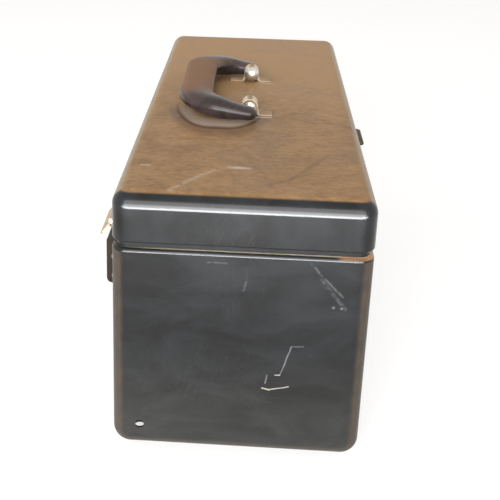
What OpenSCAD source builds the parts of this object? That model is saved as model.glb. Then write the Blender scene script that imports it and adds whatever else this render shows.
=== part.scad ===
// Steel hand toolbox with a lift-out tray, a folding moulded handle and two snap catches.
// Millimetres. +Z is up, the length runs along X, the catches face -Y and the hinge faces +Y.
// The origin is on the underside, at the centre of the case.

/* [Case] */
// Outer length of the case, along X
case_l = 502; // [420:1:640]
// Outer width of the case, front to back
case_w = 178; // [160:1:230]
// Height of the body up to the top of its shoulder
body_h = 158; // [140:1:200]
// Thickness of the case sheet
sheet = 1.2; // [0.9:0.1:1.4]
// Radius of the body's long bottom corners
body_corner_r = 13; // [12.5:0.5:20]
// Radius of the rounded edge round each end of the body, and of its upright corners
end_rim_r = 11.5; // [11.5:0.1:12.4]
// Depth of the plain band behind the rounded edge of an end pan
end_band = 3.5; // [2.5:0.5:4]
// Depth of the welding flange of an end pan inside the wrap
end_flange = 4; // [3:0.5:5]
// Radius of the hole low in the right-hand end
end_hole_r = 3.2; // [2:0.1:5]
// Distance of that hole from the front of the case
end_hole_front = 20; // [16:0.5:40]
// Height of that hole above the underside
end_hole_z = 19.5; // [15:0.5:40]
// Radius of the hole in the bottom, near the same corner
base_hole_r = 3.5; // [2:0.1:4]
// Distance of that hole from the right-hand end
base_hole_end = 28; // [20:0.5:60]
// Distance of that hole from the front of the case
base_hole_front = 17; // [16:0.5:60]

/* [Rim] */
// Radius of the body's rounded shoulder
shoulder_r = 3; // [2.6:0.1:3.1]
// Height of the upstand above the shoulder
upstand_h = 14; // [10:0.5:18]
// Gap between the shoulder and the outside face of the upstand
upstand_step = 0.2; // [0.1:0.05:0.4]
// Depth of the rim's welding flange inside the wall
rim_lap = 10; // [10:0.5:11]

/* [Lid] */
// Height of the lid
lid_h = 36; // [34:0.5:50]
// Gap between the shoulder and the lid's edge
lid_gap = 4; // [3.5:0.1:5]
// Radius of the lid's top edges
lid_edge_r = 11.5; // [8:0.5:11.5]
// Height of the hem folded up inside the lid's edge
hem_h = 6; // [4:0.5:6]
// Length of the stiffening plate under the handle
stiffener_l = 176; // [160:1:200]
// Width of the stiffening plate under the handle
stiffener_w = 56; // [46:1:80]

/* [Hinge] */
// Length of the continuous hinge
hinge_l = 396; // [220:22:396]
// Length of one knuckle with its gap
knuckle_pitch = 22; // [16.5:5.5:22]
// Outer radius of the knuckles
knuckle_r = 2.4; // [2.2:0.1:2.6]
// Radius of the hinge pin
hinge_pin_r = 1.15; // [0.8:0.05:1.2]
// Radial clearance between the pin and the knuckles
pin_clear = 0.05; // [0.03:0.01:0.1]
// Width of a hinge leaf beyond the knuckles
leaf_w = 14; // [12:0.5:16]
// Number of rivets along each leaf
leaf_rivets = 6; // [4:1:8]
// Length of the lid stop
stop_l = 46; // [30:1:60]
// How far the lid stop stands out from the back
stop_out = 11.8; // [10:0.1:12]

/* [Catches] */
// Distance from the end of the case to the middle of its catch
catch_end = 49; // [48:1:130]
// Width of a catch
catch_w = 44; // [36:1:50]
// Height of the catch case
catch_h = 39; // [36:0.5:50]
// How far the catch case stands out
catch_out = 6.5; // [6:0.1:7]
// Thickness of the catch sheet
catch_sheet = 1; // [0.8:0.1:1.2]
// Length of the flap from its pivot
flap_l = 13; // [12.6:0.1:13.4]
// Thickness of the flap and its leaf
flap_t = 1.2; // [1:0.1:1.3]
// Angle of the flap from upright, as it stands open
flap_angle = 37; // [34:1:45]
// Radius of the catch's bolt
bolt_r = 0.75; // [0.6:0.05:0.8]
// Travel of the thumb slide
slide_travel = 5.5; // [4.6:0.1:6]

/* [Handle] */
// Distance between the outer faces of the handle's arms
handle_l = 167; // [160:1:170]
// Distance from the pivot to the middle of the grip
handle_reach = 46; // [44:0.5:54]
// Radius of the handle's corners, along its middle line
handle_corner = 35; // [28:0.5:38]
// Width of each arm at its pivot
arm_w = 17; // [14:0.5:18]
// Thickness of each arm at its pivot
arm_t = 10.8; // [10:0.1:12]
// Width of the grip
grip_w = 29; // [22:0.5:32]
// Thickness of the grip
grip_t = 17; // [14:0.5:18]
// Height of the pivot above the lid
pivot_h = 7.5; // [7.2:0.1:9]
// Angle of the folded handle above the lid
fold_angle = 6; // [5.5:0.5:10]
// Radius of the pivot pins
pivot_r = 5.1; // [4:0.1:5.4]
// Clearance between a pin and its loop
loop_clear = 0.3; // [0.2:0.05:0.5]
// Thickness of the loop strap
loop_t = 1.5; // [1.2:0.1:1.8]
// Width of the loop strap
loop_w = 13; // [10:0.5:14]
// Reach of the loop's feet from its middle
loop_foot = 19; // [16:0.5:22]

/* [Tray] */
// Depth of the tray
tray_d = 46; // [35:0.5:50]
// Height of the tray's top edge above the shoulder
tray_rise = 10; // [6:0.5:12]
// Gap between the tray's rolled edge and the upstand
tray_gap = 1.2; // [1:0.1:2]
// Thickness of the tray sheet
tray_sheet = 1; // [0.8:0.1:1.2]
// Radius of the tray's rolled edge
tray_roll_r = 1.6; // [1.4:0.1:2]
// Radius of the tray's upright corners
tray_corner_r = 16; // [12:0.5:22]
// Radius between the tray's walls and its floor
tray_floor_r = 5; // [3:0.5:8]
// Width of each ledge that carries the tray
ledge_w = 140; // [80:1:144]
// How far each ledge reaches in from the end
ledge_reach = 18; // [15:0.5:24]
// Height of each ledge's plate on the end of the case
ledge_h = 22; // [15:0.5:30]
// Place of the cross divider in the right half of the tray
divider_x = 122; // [60:1:180]
// Length of the tray's bail, between its legs
bail_w = 84; // [70:1:100]
// Reach of the bail from its pivot
bail_reach = 24; // [20:0.5:25]
// Radius of the bail's wire
bail_r = 1.6; // [1.3:0.1:1.8]
// Radius of the sleeve on the bail
sleeve_r = 3.8; // [3:0.1:4.2]

/* [Hidden] */
$fn = 48;
eps = 0.01;
half_l = case_l / 2;
half_w = case_w / 2;
// Heights on the case
wall_top = body_h - shoulder_r;
butt_gap = 0.2;
upstand_u = shoulder_r + upstand_step;
rim_inside = upstand_u + sheet;
lid_z = body_h + lid_gap;
lid_top = lid_z + lid_h;
// The lid's upright corners are a little wider than those of the body.
lid_r = end_rim_r + 0.5;
end_depth = end_rim_r + end_band;
// Continuous hinge
hinge_y = half_w + knuckle_r;
hinge_z = body_h + lid_gap / 2;
knuckle_gap = 0.3;
knuckle_count = round(hinge_l / knuckle_pitch);
knuckle_clear = 0.35;
leaf_rivet_step = hinge_l / leaf_rivets;
leaf_rivet_z = knuckle_r + leaf_w * 0.62;
rivet_r = 1.6;
rivet_head_r = 3;
rivet_head_h = 1.3;
stop_z = lid_z + 1.6;
stop_t = 1.2;
stop_flange = 14;
stop_corner = 5;
stop_clear = 0.4;
stop_rivet_in = 8;
// Catches
catch_x = half_l - catch_end;
flap_y = half_w + knuckle_r + 0.3;
flap_z = lid_z + 4;
flap_pin_r = 1.1;
flap_knuckle = catch_w / 2;
leaf_h = 17;
catch_top = body_h - 0.5;
catch_bottom = catch_top - catch_h;
catch_round = 4;
catch_slope_h = 6;
catch_slope_d = 3;
catch_ear = 8;
catch_ear_z = 4;
catch_ear_h = catch_h - 10;
catch_rivet_z = [8, catch_h - 16];
notch_w = 6;
notch_h = 6.2;
lug_w = 2;
lug_s = 9.5;
lug_n = 5.2;
lug_hole_s = 11.3;
lug_hole_n = 3.6;
lug_hole_clear = 0.25;
closed_turn = 17;
closed_angle = flap_angle - closed_turn;
bolt_y = -flap_y - lug_hole_s * sin(closed_angle) + lug_hole_n * cos(closed_angle);
bolt_z = flap_z - lug_hole_s * cos(closed_angle) - lug_hole_n * sin(closed_angle);
bolt_start = lug_w / 2 + 2.2;
slide_w = 10;
slide_x = 8;
slide_t = 1.4;
slide_below = 5;
slide_web = 5;
slide_clear = 0.3;
knob_r = 3.6;
knob_out = 2.6;
stem_r = 1.9;
knob_rise = 18;
knob_z = catch_bottom + knob_rise;
// Handle
pivot_z = lid_top + pivot_h;
arm_x = handle_l / 2 - arm_w / 2;
arm_back = 6;
arm_drop = 1.2;
arm_gap = 4.5;
width_start = 4;
width_end = 14;
thick_start = 4;
thick_end = 18;
loop_inner_r = pivot_r + loop_clear;
loop_outer_r = loop_inner_r + loop_t;
loop_x = handle_l / 2 - arm_w - arm_gap - loop_w / 2;
loop_bend = 1.5;
pin_seat_r = 3.4;
pin_seat_l = 9;
pin_head_r = min(6.6, pivot_h - 0.6);
pin_head_l = 4;
pin_head_gap = 0.6;
// Tray
part_gap = 0.1;
ledge_lip = 4;
tray_top = body_h + tray_rise;
tray_bottom = tray_top - tray_d;
tray_out_l = case_l - 2 * (rim_inside + tray_gap);
tray_out_w = case_w - 2 * (rim_inside + tray_gap);
tray_curl = 2 * tray_roll_r - tray_sheet;
tray_pan_l = tray_out_l - 2 * tray_curl;
tray_pan_w = tray_out_w - 2 * tray_curl;
inside_w = tray_pan_w - 2 * tray_sheet - 2 * part_gap;
floor_z = tray_bottom + tray_sheet;
tray_seat = 0.3;
bridge_foot = 8;
bail_x = tray_sheet / 2 + sleeve_r + 0.5;
bail_z = tray_top - 6;
bail_ear_t = 1.5;
bail_ear_r = 4;
bail_bend = 4;
bail_ear_y = bail_w / 2 + bail_bend + 1.5;
bail_end = bail_ear_y + 2;
sleeve_l = bail_w - 22;

// Runs a profile round a rounded rectangle. Its x is the depth in from the outline, its y is z.
module ring_sweep(lx, ly, r) {
    for (s = [0, 1]) {
        mirror([0, s, 0]) translate([-(lx / 2 - r), -ly / 2, 0])
            rotate([90, 0, 90]) linear_extrude(lx - 2 * r) children();
        mirror([s, 0, 0]) translate([-lx / 2, ly / 2 - r, 0])
            rotate([90, 0, 0]) linear_extrude(ly - 2 * r) children();
    }
    for (q = [0:3]) {
        cx = (q == 0 || q == 3) ? 1 : -1;
        cy = q < 2 ? 1 : -1;
        translate([cx * (lx / 2 - r), cy * (ly / 2 - r), 0]) rotate([0, 0, 90 * q])
            rotate_extrude(angle = 90) translate([r, 0]) mirror([1, 0]) children();
    }
}

// Runs a profile down one side, along the bottom and up the other side of a U outline.
module u_sweep(w, h, r) {
    for (s = [0, 1]) {
        mirror([s, 0, 0]) translate([-w / 2, h, 0])
            rotate([90, 0, 0]) linear_extrude(h - r) children();
        translate([(2 * s - 1) * (w / 2 - r), r, 0]) rotate([0, 0, 180 + 90 * s])
            rotate_extrude(angle = 90) translate([r, 0]) mirror([1, 0]) children();
    }
    translate([-(w / 2 - r), 0, 0])
        rotate([90, 0, 90]) linear_extrude(w - 2 * r) children();
}

// Plate outline with two round lower corners, its lower edge at y = 0.
module u_outline(w, h, r) {
    translate([-(w / 2 - r), 0]) square([w - 2 * r, h]);
    translate([-w / 2, r]) square([w, h - r]);
    for (s = [-1, 1]) translate([s * (w / 2 - r), r]) circle(r);
}

// Quarter of a ring with its centre at (r, r), bulging towards the origin.
module quarter_ring(r, t) {
    intersection() {
        translate([r, r]) difference() {
            circle(r);
            circle(r - t);
        }
        square([r, r]);
    }
}

// Half of a disc, above y = 0.
module half_disc(r) {
    intersection() {
        circle(r);
        translate([-r, 0]) square([2 * r, r]);
    }
}

// Rectangle with round corners, centred.
module round_plate(lx, ly, r) {
    square([lx - 2 * r, ly], center = true);
    square([lx, ly - 2 * r], center = true);
    for (sx = [-1, 1], sy = [-1, 1]) translate([sx * (lx / 2 - r), sy * (ly / 2 - r)]) circle(r);
}

// Domed rivet along +Z: the head stands on z = 0, the shank and tail reach down to -depth.
module rivet(depth) {
    cap_r = (rivet_head_r * rivet_head_r + rivet_head_h * rivet_head_h) / (2 * rivet_head_h);
    rotate_extrude() intersection() {
        translate([0, rivet_head_h - cap_r]) circle(cap_r, $fn = 96);
        square([rivet_head_r, rivet_head_h]);
    }
    translate([0, 0, -depth]) cylinder(r = rivet_r, h = depth + eps);
    translate([0, 0, -depth - 1]) cylinder(r = rivet_r + 0.8, h = 1);
}

// ---- body ----
module case_rivet_spots() {
    for (c = [-1, 1], s = [-1, 1], z = catch_rivet_z)
        translate([c * catch_x + s * (catch_w / 2 + catch_ear / 2), -half_w, catch_bottom + z])
            children();
}

module body_leaf_rivet_spots() {
    for (i = [0:leaf_rivets - 1])
        translate([-hinge_l / 2 + leaf_rivet_step * (i + 0.5), half_w, hinge_z - leaf_rivet_z])
            children();
}

module body_wrap() {
    wrap_l = case_l - 2 * (end_depth + butt_gap);
    color("dimgray") difference() {
        translate([-wrap_l / 2, 0, 0]) rotate([90, 0, 90]) linear_extrude(wrap_l) difference() {
            u_outline(case_w, wall_top - butt_gap, body_corner_r);
            translate([0, sheet])
                u_outline(case_w - 2 * sheet, body_h, body_corner_r - sheet);
        }
        case_rivet_spots() rotate([90, 0, 0]) cylinder(r = rivet_r, h = 10, center = true);
        body_leaf_rivet_spots() rotate([90, 0, 0]) cylinder(r = rivet_r, h = 10, center = true);
        translate([half_l - base_hole_end, -half_w + base_hole_front, 0])
            cylinder(r = base_hole_r, h = 10, center = true);
    }
}

module end_pan() {
    pan_h = wall_top - butt_gap;
    u_sweep(case_w, pan_h, body_corner_r) {
        quarter_ring(end_rim_r, sheet);
        translate([0, end_rim_r]) square([sheet, end_band]);
    }
    u_sweep(case_w, pan_h - rim_lap, body_corner_r) {
        translate([sheet, end_depth - sheet]) square([sheet, sheet + end_flange]);
    }
    translate([0, end_rim_r, 0]) linear_extrude(sheet)
        u_outline(case_w - 2 * end_rim_r, pan_h - end_rim_r, body_corner_r - end_rim_r);
}

module end_pan_right() {
    color("dimgray") difference() {
        translate([half_l, 0, 0]) rotate([90, 0, -90]) end_pan();
        translate([half_l, -half_w + end_hole_front, end_hole_z]) rotate([0, 90, 0])
            cylinder(r = end_hole_r, h = 10, center = true);
    }
}

module end_pan_left() {
    color("dimgray") rotate([0, 0, 180]) translate([half_l, 0, 0]) rotate([90, 0, -90]) end_pan();
}

module body_rim() {
    color("tan") difference() {
        ring_sweep(case_l, case_w, end_rim_r) {
            translate([0, wall_top + shoulder_r]) mirror([0, 1]) quarter_ring(shoulder_r, sheet);
            translate([sheet, wall_top - rim_lap]) square([sheet, rim_lap + shoulder_r / 2]);
            translate([shoulder_r, body_h - sheet]) square([rim_inside - shoulder_r, sheet]);
            translate([upstand_u, body_h]) square([sheet, upstand_h - sheet / 2]);
            translate([upstand_u + sheet / 2, body_h + upstand_h - sheet / 2])
                half_disc(sheet / 2);
        }
        body_leaf_rivet_spots() rotate([90, 0, 0]) cylinder(r = rivet_r, h = 10, center = true);
    }
}

module tray_ledge() {
    ledge_top = tray_bottom - tray_seat;
    translate([half_l - sheet, ledge_w / 2, 0]) rotate([90, 0, 0]) linear_extrude(ledge_w) {
        translate([-ledge_reach, ledge_top - sheet]) square([ledge_reach, sheet]);
        translate([-sheet, ledge_top - ledge_h]) square([sheet, ledge_h]);
        translate([-ledge_reach, ledge_top - ledge_lip]) square([sheet, ledge_lip]);
    }
}

module tray_ledge_right() {
    color("dimgray") tray_ledge();
}

module tray_ledge_left() {
    color("dimgray") rotate([0, 0, 180]) tray_ledge();
}

// Leaf of the continuous hinge, hanging below its pin. odd picks which knuckles it carries.
module hinge_leaf(odd, bore_r) {
    for (i = [odd:2:knuckle_count - 1])
        translate([i * knuckle_pitch + knuckle_gap / 2, 0, 0]) rotate([90, 0, 90])
            linear_extrude(knuckle_pitch - knuckle_gap) difference() {
                union() {
                    circle(knuckle_r);
                    translate([-knuckle_r, -knuckle_r - 1]) square([flap_t, knuckle_r + 1]);
                }
                circle(bore_r);
            }
    translate([0, -knuckle_r, -knuckle_r - leaf_w])
        cube([hinge_l, flap_t, leaf_w - knuckle_clear]);
}

module hinge_leaf_body() {
    color("gray") difference() {
        translate([-hinge_l / 2, hinge_y, hinge_z]) hinge_leaf(0, hinge_pin_r);
        body_leaf_rivet_spots() rotate([90, 0, 0]) cylinder(r = rivet_r, h = 10, center = true);
    }
}

module hinge_pin() {
    color("gray") translate([-hinge_l / 2 - 1, hinge_y, hinge_z]) rotate([0, 90, 0])
        cylinder(r = hinge_pin_r, h = hinge_l + 2);
}

module hinge_rivets_body() {
    color("dimgray") body_leaf_rivet_spots() translate([0, flap_t, 0]) rotate([-90, 0, 0])
        rivet(flap_t + 2 * sheet);
}

// Side profile of the catch case: x is how far it stands out, y runs from its bottom.
module catch_outline(out, h, inset) {
    difference() {
        polygon([[0, inset], [out - inset, inset],
            [out - inset, h - catch_slope_h - inset * 0.24],
            [out - catch_slope_d - inset * 0.62, h - inset], [0, h - inset]]);
        translate([out - catch_round, 0]) difference() {
            square(catch_round);
            translate([0, catch_round]) circle(catch_round - inset);
        }
    }
}

module catch_case(x) {
    slot_w = 2 * stem_r + 0.5;
    translate([x, -half_w, catch_bottom]) rotate([0, 0, -90]) {
        difference() {
            translate([0, catch_w / 2, 0]) rotate([90, 0, 0]) linear_extrude(catch_w)
                catch_outline(catch_out, catch_h, 0);
            translate([-eps, catch_w / 2 - catch_sheet, 0]) rotate([90, 0, 0])
                linear_extrude(catch_w - 2 * catch_sheet)
                    catch_outline(catch_out, catch_h, catch_sheet);
            translate([-eps, -notch_w / 2, catch_h - notch_h])
                cube([catch_out + 1, notch_w, notch_h + 1]);
            translate([0, slide_travel / 2 - slide_x - slide_w / 2, knob_z - catch_bottom])
                rotate([0, 90, 0]) linear_extrude(catch_out + 1)
                    round_plate(slot_w, slot_w + slide_travel, slot_w / 2 - eps);
        }
        for (s = [-1, 1]) difference() {
            translate([0, s > 0 ? catch_w / 2 - eps : -catch_w / 2 - catch_ear, catch_ear_z])
                cube([catch_sheet, catch_ear + eps, catch_ear_h]);
            for (z = catch_rivet_z)
                translate([0, s * (catch_w / 2 + catch_ear / 2), z]) rotate([0, 90, 0])
                    cylinder(r = rivet_r, h = 10, center = true);
        }
    }
}

module catch_case_right() {
    color("dimgray") catch_case(catch_x);
}

module catch_case_left() {
    color("dimgray") catch_case(-catch_x);
}

module catch_case_rivets() {
    color("gray") case_rivet_spots() translate([0, -catch_sheet, 0]) rotate([90, 0, 0])
        rivet(catch_sheet + sheet);
}

// Thumb slide: a knob outside the case, its stem, a carrier plate and the bolt.
module thumb_slide(x) {
    front = -half_w - catch_out;
    carrier_y = front + catch_sheet + slide_clear;
    translate([x, 0, 0]) {
        translate([-slide_x - slide_w / 2, 0, knob_z]) rotate([90, 0, 0]) {
            translate([0, 0, -front + slide_clear]) rotate_extrude() {
                square([knob_r, knob_out - 1]);
                square([knob_r - 1, knob_out]);
                translate([knob_r - 1, knob_out - 1]) circle(1);
            }
            translate([0, 0, -carrier_y - eps])
                cylinder(r = stem_r, h = catch_sheet + 2 * slide_clear + 2 * eps);
        }
        translate([-slide_x - slide_w, carrier_y, knob_z - slide_below])
            cube([slide_w, slide_t, bolt_z - knob_z + slide_below - slide_web + slide_t]);
        translate([-slide_x - slide_w, carrier_y, bolt_z - slide_web])
            cube([slide_w, bolt_y - carrier_y, slide_t]);
        translate([-slide_x - slide_w, bolt_y - slide_t / 2, bolt_z - slide_web])
            cube([slide_w, slide_t, slide_web]);
        translate([-slide_x - slide_w, bolt_y, bolt_z]) rotate([0, 90, 0])
            cylinder(r = bolt_r, h = slide_x + slide_w - bolt_start);
    }
}

module thumb_slide_right() {
    color("silver") thumb_slide(catch_x);
}

module thumb_slide_left() {
    color("silver") thumb_slide(-catch_x);
}

// ---- lid ----
module lid_leaf_rivet_spots() {
    for (i = [0:leaf_rivets - 1])
        translate([-hinge_l / 2 + leaf_rivet_step * (i + 0.5), half_w, hinge_z + leaf_rivet_z])
            children();
}

module stop_rivet_spots() {
    for (s = [-1, 1])
        translate([s * (stop_l / 2 - stop_rivet_in), half_w, stop_z + stop_flange - 2])
            children();
}

module flap_rivet_spots() {
    for (c = [-1, 1], s = [-1, 1])
        translate([c * catch_x + s * catch_w / 4, -half_w, flap_z + leaf_h / 2 + 2]) children();
}

module lid_shell() {
    color("dimgray") difference() {
        union() {
            ring_sweep(case_l, case_w, lid_r) {
                translate([sheet, lid_z + sheet]) mirror([0, 1]) half_disc(sheet);
                translate([0, lid_z + sheet]) square([2 * sheet, hem_h - sheet]);
                translate([0, lid_z + hem_h]) square([sheet, lid_h - lid_edge_r - hem_h]);
                translate([0, lid_top]) mirror([0, 1]) quarter_ring(lid_edge_r, sheet);
            }
            translate([0, 0, lid_top - sheet]) linear_extrude(sheet)
                round_plate(case_l - 2 * lid_edge_r, case_w - 2 * lid_edge_r, lid_r - lid_edge_r);
        }
        lid_leaf_rivet_spots() rotate([90, 0, 0]) cylinder(r = rivet_r, h = 10, center = true);
        flap_rivet_spots() rotate([90, 0, 0]) cylinder(r = rivet_r, h = 10, center = true);
        stop_rivet_spots() rotate([90, 0, 0]) cylinder(r = rivet_r, h = 10, center = true);
    }
}

module lid_stiffener() {
    color("dimgray") translate([0, 0, lid_top - 2 * sheet]) linear_extrude(sheet)
        round_plate(stiffener_l, stiffener_w, 8);
}

module hinge_leaf_lid() {
    color("gray") difference() {
        translate([-hinge_l / 2, hinge_y, hinge_z]) mirror([0, 0, 1])
            hinge_leaf(1, hinge_pin_r + pin_clear);
        lid_leaf_rivet_spots() rotate([90, 0, 0]) cylinder(r = rivet_r, h = 10, center = true);
        translate([-stop_l / 2 - stop_clear, half_w - 1, stop_z - stop_clear])
            cube([stop_l + 2 * stop_clear, 10, leaf_w + 10]);
    }
}

module hinge_rivets_lid() {
    color("dimgray") lid_leaf_rivet_spots() translate([0, flap_t, 0]) rotate([-90, 0, 0])
        rivet(flap_t + sheet);
}

// Angle bracket whose flange meets the back of the body when the lid is fully open.
module lid_stop() {
    color("gray") difference() {
        union() {
            translate([-stop_l / 2, half_w, stop_z]) cube([stop_l, stop_t, stop_flange + 3]);
            translate([0, half_w, stop_z]) linear_extrude(stop_t) {
                translate([-stop_l / 2, 0]) square([stop_l, stop_out - stop_corner]);
                translate([-stop_l / 2 + stop_corner, 0])
                    square([stop_l - 2 * stop_corner, stop_out]);
                for (s = [-1, 1])
                    translate([s * (stop_l / 2 - stop_corner), stop_out - stop_corner])
                        circle(stop_corner);
            }
        }
        stop_rivet_spots() rotate([90, 0, 0]) cylinder(r = rivet_r, h = 10, center = true);
    }
}

module lid_stop_rivets() {
    color("dimgray") stop_rivet_spots() translate([0, stop_t, 0]) rotate([-90, 0, 0])
        rivet(stop_t + sheet);
}

module flap_leaf(x) {
    end_w = (catch_w - flap_knuckle) / 2 - knuckle_gap / 2;
    leaf_y = flap_y - half_w - flap_t;
    color("gray") difference() {
        translate([x, -flap_y, flap_z]) difference() {
            union() {
                for (s = [0, 1]) mirror([s, 0, 0]) {
                    translate([catch_w / 2 - end_w, 0, 0]) rotate([0, 90, 0])
                        cylinder(r = knuckle_r, h = end_w);
                    translate([catch_w / 2 - end_w, leaf_y, 0])
                        cube([end_w, flap_t, knuckle_r + 1]);
                }
                translate([-catch_w / 2, leaf_y, knuckle_r + knuckle_clear])
                    cube([catch_w, flap_t, leaf_h - knuckle_r]);
            }
            rotate([0, 90, 0]) cylinder(r = flap_pin_r, h = catch_w + 2, center = true);
        }
        flap_rivet_spots() rotate([90, 0, 0]) cylinder(r = rivet_r, h = 10, center = true);
    }
}

module flap_leaf_right() {
    flap_leaf(catch_x);
}

module flap_leaf_left() {
    flap_leaf(-catch_x);
}

module flap_leaf_rivets() {
    color("dimgray") flap_rivet_spots() translate([0, -flap_t, 0]) rotate([90, 0, 0])
        rivet(flap_t + sheet);
}

module flap_pin(x) {
    color("gray") translate([x, -flap_y, flap_z]) rotate([0, 90, 0])
        cylinder(r = flap_pin_r, h = catch_w + 1, center = true);
}

module flap_pin_right() {
    flap_pin(catch_x);
}

module flap_pin_left() {
    flap_pin(-catch_x);
}

// Flap drawn hanging straight down from its pivot, then swung out.
module latch_flap(x) {
    color("tan") translate([x, -flap_y, flap_z]) rotate([-flap_angle, 0, 0]) difference() {
        union() {
            rotate([0, 90, 0])
                cylinder(r = knuckle_r, h = flap_knuckle - knuckle_gap, center = true);
            translate([0, flap_t / 2, 0]) rotate([90, 0, 0]) linear_extrude(flap_t) {
                translate([-flap_knuckle / 2 + knuckle_gap / 2, -knuckle_r - knuckle_clear - 1])
                    square([flap_knuckle - knuckle_gap, knuckle_r + 1]);
                translate([-catch_w / 2, -flap_l + 2])
                    square([catch_w, flap_l - 2 - knuckle_r - knuckle_clear]);
                translate([-catch_w / 2 + 2, -flap_l]) square([catch_w - 4, 3]);
                for (s = [-1, 1]) translate([s * (catch_w / 2 - 2), -flap_l + 2]) circle(2);
            }
            translate([-lug_w / 2, 0, -flap_l]) cube([lug_w, lug_n, flap_l - lug_s]);
        }
        rotate([0, 90, 0]) cylinder(r = flap_pin_r + pin_clear, h = catch_w, center = true);
        translate([0, lug_hole_n, -lug_hole_s]) rotate([0, 90, 0])
            cylinder(r = bolt_r + lug_hole_clear, h = 3 * lug_w, center = true);
    }
}

module latch_flap_right() {
    latch_flap(catch_x);
}

module latch_flap_left() {
    latch_flap(-catch_x);
}

// Strap loop that holds a handle pin, its feet flat on the lid.
module handle_loop(x) {
    color("tan") translate([x - loop_w / 2, 0, lid_top]) rotate([90, 0, 90])
        linear_extrude(loop_w) {
            translate([0, pivot_h]) intersection() {
                difference() {
                    circle(loop_outer_r);
                    circle(loop_inner_r);
                }
                translate([-loop_outer_r, 0]) square([2 * loop_outer_r, loop_outer_r]);
            }
            for (s = [0, 1]) mirror([s, 0]) {
                translate([loop_inner_r, loop_bend + loop_t])
                    square([loop_t, pivot_h - loop_bend - loop_t]);
                translate([loop_inner_r, loop_bend + loop_t]) intersection() {
                    translate([loop_bend + loop_t, 0]) difference() {
                        circle(loop_bend + loop_t);
                        circle(loop_bend);
                    }
                    translate([0, -loop_bend - loop_t]) square(loop_bend + loop_t);
                }
                translate([loop_outer_r + loop_bend, 0])
                    square([loop_foot - loop_outer_r - loop_bend, loop_t]);
            }
        }
}

module handle_loop_right() {
    handle_loop(loop_x);
}

module handle_loop_left() {
    handle_loop(-loop_x);
}

// ---- handle ----
// The moulded handle is a sweep. Along half of it, s runs from the arm's end to the middle.
arm_run = handle_reach - handle_corner + arm_back;
corner_run = handle_corner * PI / 2;
half_run = arm_run + corner_run + arm_x - handle_corner;
handle_rings = 72;
handle_sides = 20;
function smooth(t) = let (c = max(0, min(1, t))) c * c * (3 - 2 * c);
function place(s) = s < arm_run ? [arm_x, s - arm_back]
    : s < arm_run + corner_run
        ? let (a = (s - arm_run) / handle_corner * 180 / PI)
            [arm_x - handle_corner * (1 - cos(a)),
                arm_run - arm_back + handle_corner * sin(a)]
        : [arm_x - handle_corner - (s - arm_run - corner_run), handle_reach];
function bearing(s) = s < arm_run ? 0 : min(90, (s - arm_run) / handle_corner * 180 / PI);
function end_round(s) = s >= arm_back ? 1 : sqrt(max(0.02, 1 - pow(1 - s / arm_back, 2)));
function half_width(s) = end_round(s) * (arm_w + (grip_w - arm_w)
    * smooth((s - arm_run + width_start) / (corner_run - width_end + width_start))) / 2;
function half_thick(s) = end_round(s) * (arm_t + (grip_t - arm_t)
    * smooth((s - thick_start) / (arm_run + thick_end - thick_start))) / 2;
function drop(s) = -arm_drop * (1 - smooth((s - arm_run + arm_back) / corner_run));
function section(t) =
    let (s = t < 0.5 ? 2 * t * half_run : 2 * (1 - t) * half_run, side = t < 0.5 ? 1 : -1,
        p = place(s), b = bearing(s), w = half_width(s), k = half_thick(s), n = drop(s))
    [for (i = [0:handle_sides - 1]) let (a = side * 360 * i / handle_sides,
        u = w * sign(cos(a)) * pow(abs(cos(a)), 0.85), v = k * sign(sin(a)) * pow(abs(sin(a)), 0.85))
        [side * (p[0] + u * cos(b)), p[1] + u * sin(b), n + side * v]];

module handle_grip() {
    points = [for (j = [0:handle_rings]) each section(j / handle_rings)];
    last = handle_rings * handle_sides;
    walls = [for (j = [0:handle_rings - 1], i = [0:handle_sides - 1])
        let (a = j * handle_sides + i, b = j * handle_sides + (i + 1) % handle_sides)
        [a, b, b + handle_sides, a + handle_sides]];
    caps = [[for (i = [handle_sides - 1:-1:0]) i], [for (i = [0:handle_sides - 1]) last + i]];
    color("black") translate([0, 0, pivot_z]) rotate([-fold_angle, 0, 0]) mirror([0, 1, 0])
        difference() {
            polyhedron(points, concat(walls, caps), convexity = 6);
            for (s = [-1, 1]) translate([s * (arm_x - arm_w / 2 + pin_seat_l / 2 - 1), 0, 0])
                rotate([0, 90, 0]) cylinder(r = pin_seat_r, h = pin_seat_l + 2, center = true);
        }
}

// Pin fixed in an arm: seat, journal in the loop and a domed inner head, along +X.
module handle_pin() {
    seat_end = arm_x - arm_w / 2 + pin_seat_l;
    journal_end = arm_x - arm_w / 2 - pin_head_gap;
    head_start = loop_x - loop_w / 2 - pin_head_gap;
    dome_r = (pin_head_r * pin_head_r + pin_head_l * pin_head_l) / (2 * pin_head_l);
    color("silver") translate([0, 0, pivot_z]) rotate([0, 90, 0]) {
        translate([0, 0, journal_end - eps]) cylinder(r = pin_seat_r, h = seat_end - journal_end);
        translate([0, 0, head_start - eps])
            cylinder(r = pivot_r, h = journal_end - head_start + eps);
        translate([0, 0, head_start]) mirror([0, 0, 1]) rotate_extrude() intersection() {
            translate([0, pin_head_l - dome_r]) circle(dome_r, $fn = 96);
            square([pin_head_r, pin_head_l]);
        }
    }
}

module handle_pin_right() {
    handle_pin();
}

module handle_pin_left() {
    mirror([1, 0, 0]) handle_pin();
}

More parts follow.
